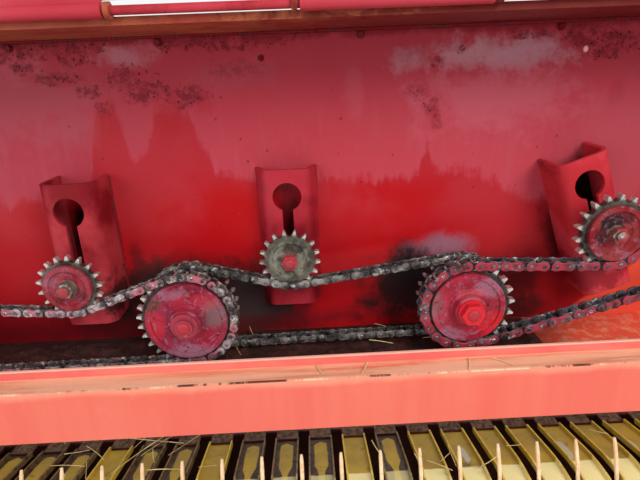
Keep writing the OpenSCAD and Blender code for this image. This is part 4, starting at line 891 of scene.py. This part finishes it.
def tineParts(look):
    # helix of "turns" round the bar, then a finger whose upper half bows back more and more
    coilR = look.barR + look.wire + look.coilGap
    turn = np.linspace(0, look.turns * 2 * np.pi, look.coilSteps)
    drift = (turn / (2 * np.pi) - look.turns) * look.wire * look.coilPitch
    coil = np.stack([drift, -coilR * np.cos(turn - turn[-1]), -coilR * np.sin(turn - turn[-1])], -1)
    length = look.reach - look.barCircle
    up = np.linspace(0, 1, look.steps)[1:]
    bow = look.bend * np.clip(up - look.bendFrom, 0, 1) ** 2 / look.bendShare
    finger = np.stack([0 * up, -coilR + bow, up * (length - look.tipGap)], -1)
    path = np.concatenate([coil, finger])
    radius = np.full(len(path), look.wire)
    radius[-3:] = look.wire * np.array(look.taper)
    one = sweep(path, radius, look.sides)
    xs = (np.arange(look.count) - (look.count - 1) / 2) * look.spacing
    parts = []
    axisPoint = middle("reel_tube")
    for bar in range(look.bars):
        angle = np.radians(look.phase + bar * 360 / look.bars)
        outward = np.array([0, np.sin(angle), np.cos(angle)])
        forward = np.array([0, np.cos(angle), -np.sin(angle)])
        axes = np.repeat(np.stack([[1.0, 0, 0], forward, outward])[None], len(xs), 0)
        origin = axisPoint[None] * [0, 1, 1] + outward[None] * look.barCircle + xs[:, None] * [[1, 0, 0]]
        parts.append(stamp(one, origin, axes))
    return joinParts(parts)


def tineFinish():
    # cream along the finger, browner towards the coil
    s = Shade("tineFinish")
    out = s.fromAxis(tuple(middle("reel_tube").tolist()), (0, 1, 1))
    colour = s.twoTone(s.cloud(0.35, 0.65, 60, 5, 0.7), (232, 190, 142), (246, 220, 180))
    colour = s.over(colour, (120, 80, 56), s.ease(out, 0.22, 0.16))
    colour = s.over(colour, (150, 100, 66), s.cloud(0.62, 0.68, 150, 5, 0.75))
    return s.finish(colour, 0.5, s.bump(s.noise(400, 3), 0.0004, 0.5), specular=0.4)


tines = addPiece("tine_springs", tineParts(tineSet), "reel", tineFinish())
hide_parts("tines")
print("tines made")

# Small hardware: hexagon heads, washers, domed ends, weld beads


# profiles are rows of (share of the radius, height)
headSet = Look(sides=6, foot=[(0.96, 1.5 * mm), (1.0, 1.8 * mm)], crown=0.86, chamfer=1 * mm,
               washer=[(1.28, 0), (1.3, 0.4 * mm), (1.3, 1.2 * mm), (1.22, 1.6 * mm)], washerSides=20)
domeSet = Look(sides=20, rows=[(1.0, -0.2 * mm), (1.0, 1.2 * mm), (0.8, 2.6 * mm), (0.35, 3.2 * mm)])
rippleSet = Look(samples=4, least=8, drift=0.05, ripple=0.18, waviness=0.2, sides=7)


def turned(r, rows, sides):
    return lathe([(r * share, height) for share, height in rows], sides)


def hexHead(across, tall):
    # six-sided prism with a chamfered crown on a round washer
    r = across / np.sqrt(3)
    crown = [(1.0, tall - headSet.chamfer), (headSet.crown, tall)]
    return joinParts([turned(r, headSet.foot + crown, headSet.sides),
                      turned(r, headSet.washer, headSet.washerSides)])


def bead(start, end, radius, step, seed, look=rippleSet):
    # weld bead: a tube whose radius ripples once a step, with a little seeded waviness
    start, end = np.array(start, float), np.array(end, float)
    count = max(int(np.linalg.norm(end - start) / step) * look.samples, look.least)
    t = np.linspace(0, 1, count)
    rng = np.random.default_rng(seed)
    wave = np.cumsum(rng.normal(0, look.drift, count))
    wave -= np.linspace(wave[0], wave[-1], count)
    ripple = look.ripple * np.sin(2 * np.pi * t * count / look.samples)
    size = radius * (1 + ripple + look.waviness * np.clip(wave, -1, 1))
    return sweep(start + (end - start) * t[:, None], size, look.sides)


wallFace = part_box("front_wall")[0][1]
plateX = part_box("side_plate_right")[1][0]
tubeLow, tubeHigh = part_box("rear_cross_tubes")
tubeY = (tubeLow[1] + tubeHigh[1]) / 2
bearing = middle("reel_bearings")
boltSet = Look(
    wallX=(-640, -424, -209, 87, 384, 600), wallZ=1.2395, wallHead=(8 * mm, 5 * mm),
    # heads on the side plates: pairs on the tubes, two at the ledge, one at the beam
    plateHead=(18 * mm, 12 * mm), pairHalf=16 * mm, tubeZ=(tubeHigh[2] - 0.03, 0.4733, 0.11),
    ledgeY=(-0.06, 0.09), ledgeZ=1.2512, beam=(-0.1, 0.7162),
    ringHead=(9 * mm, 6 * mm), ringR=31 * mm, ringOut=18 * mm, ringAngles=(45, 135, 225, 315),
    flangeHead=(13 * mm, 9 * mm), flange=47 * mm, flangeIn=12 * mm,
)
wallSpots = [(x * mm, wallFace, boltSet.wallZ) for x in boltSet.wallX]
heads = [stampAlong(hexHead(*boltSet.wallHead), wallSpots, "-y")]
for sign, axis in ((-1, "-x"), (1, "x")):
    pair = (-boltSet.pairHalf, boltSet.pairHalf)
    spots = [(sign * plateX, tubeY + dy, z) for z in boltSet.tubeZ for dy in pair]
    spots += [(sign * plateX, y, boltSet.ledgeZ) for y in boltSet.ledgeY]
    spots.append((sign * plateX, *boltSet.beam))
    heads.append(stampAlong(hexHead(*boltSet.plateHead), spots, axis))
    ring = [(sign * (plateX + boltSet.ringOut), bearing[1] + boltSet.ringR * np.cos(a),
             bearing[2] + boltSet.ringR * np.sin(a)) for a in np.radians(boltSet.ringAngles)]
    heads.append(stampAlong(hexHead(*boltSet.ringHead), ring, axis))
addPiece("frame_bolts", joinParts(heads), "frame",
         redPaint("boltPaint", dust=0.3, dirt=0.8, patch=20, seed=41, clean=(120, 22, 30),
                  dusty=(122, 50, 58)))

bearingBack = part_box("shaft_bearings")[0][1] + boltSet.flangeIn
flangeBolts = [(x + dx * boltSet.flange, bearingBack, z + dz * boltSet.flange)
               for x, z in (leftDrive, rightDrive, leftEnd, rightEnd) for dx in (-1, 1) for dz in (-1, 1)]
addPiece("bearing_bolts", stampAlong(hexHead(*boltSet.flangeHead), flangeBolts, "y"), "frame",
         steel("bearingBoltSteel"))

# along the wall's upper crease, and down the left bracket's right flange
beadSet = Look(halfX=0.819, sunk=1.2 * mm, flangeOut=0.5 * mm, flangeSunk=0.6 * mm, foot=0.03, top=0.004,
               crease=(3.2 * mm, 7 * mm, 1), flange=(2.2 * mm, 6 * mm, 2))
low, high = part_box("bracket_left")
seamY = wallFace - beadSet.sunk
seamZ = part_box("front_wall")[1][2] - beadSet.sunk
flangeX = high[0] + beadSet.flangeOut
flangeY = wallFace - beadSet.flangeSunk
beads = [bead((-beadSet.halfX, seamY, seamZ), (beadSet.halfX, seamY, seamZ), *beadSet.crease),
         bead((flangeX, flangeY, low[2] + beadSet.foot), (flangeX, flangeY, high[2] - beadSet.top),
              *beadSet.flange)]
addPiece("weld_beads", joinParts(beads), "frame",
         redPaint("beadPaint", dust=0.2, dirt=0.9, patch=14, seed=43, clean=(120, 20, 28),
                  dusty=(120, 40, 46)), smoothAngle=60)

# Domed bolt ends that stand out of the nuts and shafts
endSets = {
    "idler": Look(nodes=("idler_bolt_left", "idler_bolt_middle", "idler_bolt_right"), r=8 * mm,
                  finish=steel("idlerEndSteel", over=(150, 48, 56), overAmount=0.75, dark=(60, 48, 44),
                               pale=(124, 108, 100), metal=0.3)),
    "drive": Look(nodes=("drive_shaft_left", "drive_shaft_right"), r=9 * mm,
                  finish=steel("driveEndSteel", over=(164, 40, 50), overAmount=0.95, dark=(90, 50, 48),
                               pale=(130, 100, 96))),
}
for name, look in endSets.items():
    dome = turned(look.r, domeSet.rows, domeSet.sides)
    places = [(middle(node)[0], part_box(node)[0][1], middle(node)[2]) for node in look.nodes]
    addPiece("%s_bolt_ends" % name, stampAlong(dome, places, "-y"), "frame", look.finish)
print("hardware made")

# Dirt: a heaped layer is z = base + height * lumps(x, y), falling to nothing at its edges


lumpSet = Look(octaves=5, waves=5, finer=1.9, spread=(0.7, 1.3), weaker=1.5, soft=3.2)
layerSet = Look(skin=0.3 * mm, heap=1.5, fadeX=0.02, fadeY=5, gap=1 * mm)


def lumps(x, y, seed, scale, look=lumpSet):
    # sum of seeded waves in x and y, brought to 0..1
    rng = np.random.default_rng(seed)
    total = np.zeros(np.broadcast(x, y).shape)
    for octave in range(look.octaves):
        for _ in range(look.waves):
            angle, phase = rng.uniform(0, 2 * np.pi, 2)
            wave = scale * look.finer ** octave * rng.uniform(*look.spread)
            along = x * np.cos(angle) + y * np.sin(angle)
            total += np.sin(along * wave + phase) / look.weaker ** octave
    return 0.5 + 0.5 * np.tanh(total / look.soft)


def dirtLayer(x0, x1, y0, y1, base, height, seed, steps, scale=70):
    # top grid and a flat foot joined round the rim
    x = np.linspace(x0, x1, steps[0])[:, None]
    y = np.linspace(y0, y1, steps[1])[None]
    fadeX = np.clip(np.minimum(x - x0, x1 - x) / layerSet.fadeX, 0, 1)
    fadeY = np.clip(np.minimum(y - y0, y1 - y) / (y1 - y0) * layerSet.fadeY, 0, 1)
    heap = layerSet.skin + height * lumps(x, y, seed, scale) ** layerSet.heap
    top = base(x, y) + heap * (fadeY * fadeX)
    grid = np.stack(np.broadcast_arrays(x, y, top), -1)
    foot = grid.copy()
    foot[..., 2] = base(x, y) + 0 * x
    return gridPart(np.concatenate([grid, foot[:, ::-1]], 1))


sheetThick = 4 * mm
lipBack = troughLow[1] + sheetThick
feedLow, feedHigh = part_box("feed_floor")
slope = (feedHigh[2] - sheetThick - feedLow[2]) / (tubeLow[1] - feedLow[1])
dirtSet = Look(
    trough=Look(x=(-0.8, 0.37), tall=9 * mm, seed=5, steps=(360, 36)),
    feed=Look(x=(-0.8, 0.8), y=(0.113, 0.15), tall=9 * mm, seed=6, steps=(420, 20), scale=110),
    # on the floor's fingers between the tine slots, deepest at the right
    finger=Look(pitch=66 * mm, half=20 * mm, count=23, tall=(3 * mm, 9 * mm), between=(0.0, 0.25), seed=20,
                steps=(24, 30), scale=170, front=0.5 * mm, lap=4 * mm),
)


def troughTop(x, y):
    return floorZ + 0 * (x + y)


def feedTop(x, y):
    return feedHigh[2] - slope * (y - feedLow[1]) + 0 * x


look = dirtSet.trough
layer = dirtLayer(*look.x, lipBack + layerSet.gap, wallFace - layerSet.gap, troughTop,
                  look.tall, look.seed, look.steps)
addPiece("trough_dirt", layer, "frame",
         dirtFinish("troughDirt", (34, 22, 22), (78, 42, 38)), smoothAngle=60)

look = dirtSet.feed
layer = dirtLayer(*look.x, *look.y, feedTop, look.tall, look.seed, look.steps, look.scale)
addPiece("feed_dirt", layer, "frame",
         dirtFinish("feedDirt", (54, 36, 32), (116, 90, 76), 110, (176, 150, 120)), smoothAngle=60)

look = dirtSet.finger
fingers = []
for k in range(look.count):
    x = (k - look.count // 2) * look.pitch
    tall = np.interp(x, look.between, look.tall)
    fingers.append(dirtLayer(x - look.half, x + look.half, feedLow[1] + look.front,
                             dirtSet.feed.y[0] + look.lap, feedTop, tall, look.seed + k,
                             look.steps, look.scale))
addPiece("finger_dirt", joinParts(fingers), "frame",
         dirtFinish("fingerDirt", (54, 34, 28), (130, 102, 80), 110, (206, 182, 146)), smoothAngle=60)

# Straw: bent stalks, each a thin tube along a shallow arc, laid by seeded chance

strawSet = Look(
    seed=11, radius=0.75 * mm, spread=(0.7, 1.4), bow=0.04, steps=7, sides=5,
    # where stalks lie: x, y and z ranges, shortest, longest, steepest lean, how many
    places=[
        (-0.46, -0.2, -0.02, 0.06, 0.53, 0.545, 0.05, 0.14, 0.4, 9),
        (-0.7, 0.75, -0.05, 0.05, 0.522, 0.53, 0.03, 0.05, 0.2, 14),
        (-0.7, 0.7, 0.118, 0.146, 0.505, 0.512, 0.02, 0.06, 0.1, 26),
        (-0.05, 0.3, -0.112, -0.092, 0.7775, 0.7785, 0.015, 0.035, 0.0, 4),
        (-0.7, 0.3, -0.05, 0.03, 0.770, 0.772, 0.02, 0.05, 0.1, 9)],
)


def strawParts(look):
    rng = np.random.default_rng(look.seed)
    parts = []
    for x0, x1, y0, y1, z0, z1, shortest, longest, lean, count in look.places:
        for _ in range(count):
            length = rng.uniform(shortest, longest)
            heading = rng.uniform(0, 2 * np.pi)
            rise = rng.uniform(-lean, lean)
            centre = np.array([rng.uniform(x0, x1), rng.uniform(y0, y1), rng.uniform(z0, z1)])
            t = np.linspace(-0.5, 0.5, look.steps)
            way = np.array([np.cos(heading) * np.cos(rise), np.sin(heading) * np.cos(rise), np.sin(rise)])
            bow = rng.uniform(-look.bow, look.bow) * length
            side = np.cross(way, [0, 0, 1])
            path = centre + t[:, None] * length * way + (t[:, None] ** 2 * 4 - 1) * bow * side
            parts.append(sweep(path, look.radius * rng.uniform(*look.spread), look.sides))
    return joinParts(parts)


addPiece("straw_stalks", strawParts(strawSet), "frame",
         dryStalk("strawFinish", (176, 146, 84), (232, 214, 156)), smoothAngle=80)
print("dirt and straw made")

# Studio: pale floor, plain sky, three soft lamps

studioSet = {
    "sky": ((0.92, 0.95, 1.0, 1), 0.5), "shown": ((0.93, 0.94, 0.95, 1), 1.0),
    "floor": (214, 212, 208), "glow": 0.45, "half": 30,
    # name, place, aim, size, power, tone
    "lamps": [
        ("keyLamp", (1.6, -2.6, 3.0), (0.1, 0.0, 0.8), 2.2, 110, (1.0, 0.96, 0.9)),
        ("fillLamp", (-2.4, -2.2, 1.6), (0.0, 0.0, 0.9), 2.6, 45, (0.95, 0.97, 1.0)),
        ("backLamp", (0.5, 3.0, 3.2), (0.0, 0.2, 0.8), 2.4, 55, (1.0, 1.0, 1.0))],
}


def worldLight(tree, kind):
    made = tree.nodes.new("ShaderNodeBackground")
    made.inputs[0].default_value, made.inputs[1].default_value = studioSet[kind]
    return made.outputs[0]


def floorFinish(colour, glow):
    # the camera sees a share of plain brightness in it, so that it stays pale far out and keeps the shadow
    s = Shade("floorFinish")
    made = s.finish(screen(*colour), 0.8)
    bright = s.add("Emission", {0: studioSet["shown"][0], 1: studioSet["shown"][1]})
    share = s.times(s.add("LightPath").outputs["Is Camera Ray"], glow)
    both = s.add("MixShader", {0: share, 1: s.shader.outputs[0], 2: bright.outputs[0]})
    s.tree.links.new(both.outputs[0], s.out.inputs["Surface"])
    return made


def studio():
    floor = bpy.data.meshes.new("floor")
    half = studioSet["half"]
    corners = [(-half, -half, 0), (half, -half, 0), (half, half, 0), (-half, half, 0)]
    floor.from_pydata(corners, [], [(0, 1, 2, 3)])
    ground = bpy.data.objects.new("floor", floor)
    bpy.context.scene.collection.objects.link(ground)
    floor.materials.append(floorFinish(studioSet["floor"], studioSet["glow"]))
    world = bpy.data.worlds.new("sky")
    bpy.context.scene.world = world
    world.use_nodes = True
    tree = world.node_tree
    tree.nodes.clear()
    # what the camera, gloss and glass see is the plain background; the rest is lit by the sky
    ray = tree.nodes.new("ShaderNodeLightPath")
    seen = ray.outputs["Is Camera Ray"]
    for kind in ("Is Glossy Ray", "Is Transmission Ray"):
        either = tree.nodes.new("ShaderNodeMath")
        either.operation = "MAXIMUM"
        tree.links.new(seen, either.inputs[0])
        tree.links.new(ray.outputs[kind], either.inputs[1])
        seen = either.outputs[0]
    mixed = tree.nodes.new("ShaderNodeMixShader")
    tree.links.new(seen, mixed.inputs[0])
    tree.links.new(worldLight(tree, "sky"), mixed.inputs[1])
    tree.links.new(worldLight(tree, "shown"), mixed.inputs[2])
    tree.links.new(mixed.outputs[0], tree.nodes.new("ShaderNodeOutputWorld").inputs[0])
    for name, place, aim, size, power, tone in studioSet["lamps"]:
        data = bpy.data.lights.new(name, "AREA")
        data.shape = "DISK"
        data.size = size
        data.energy = power
        data.color = tone
        lamp = bpy.data.objects.new(name, data)
        lamp.location = place
        lamp.rotation_euler = (Vector(place) - Vector(aim)).to_track_quat("Z", "Y").to_euler()
        bpy.context.scene.collection.objects.link(lamp)


studio()
bpy.context.scene.view_settings.view_transform = "Standard"
print("studio set")
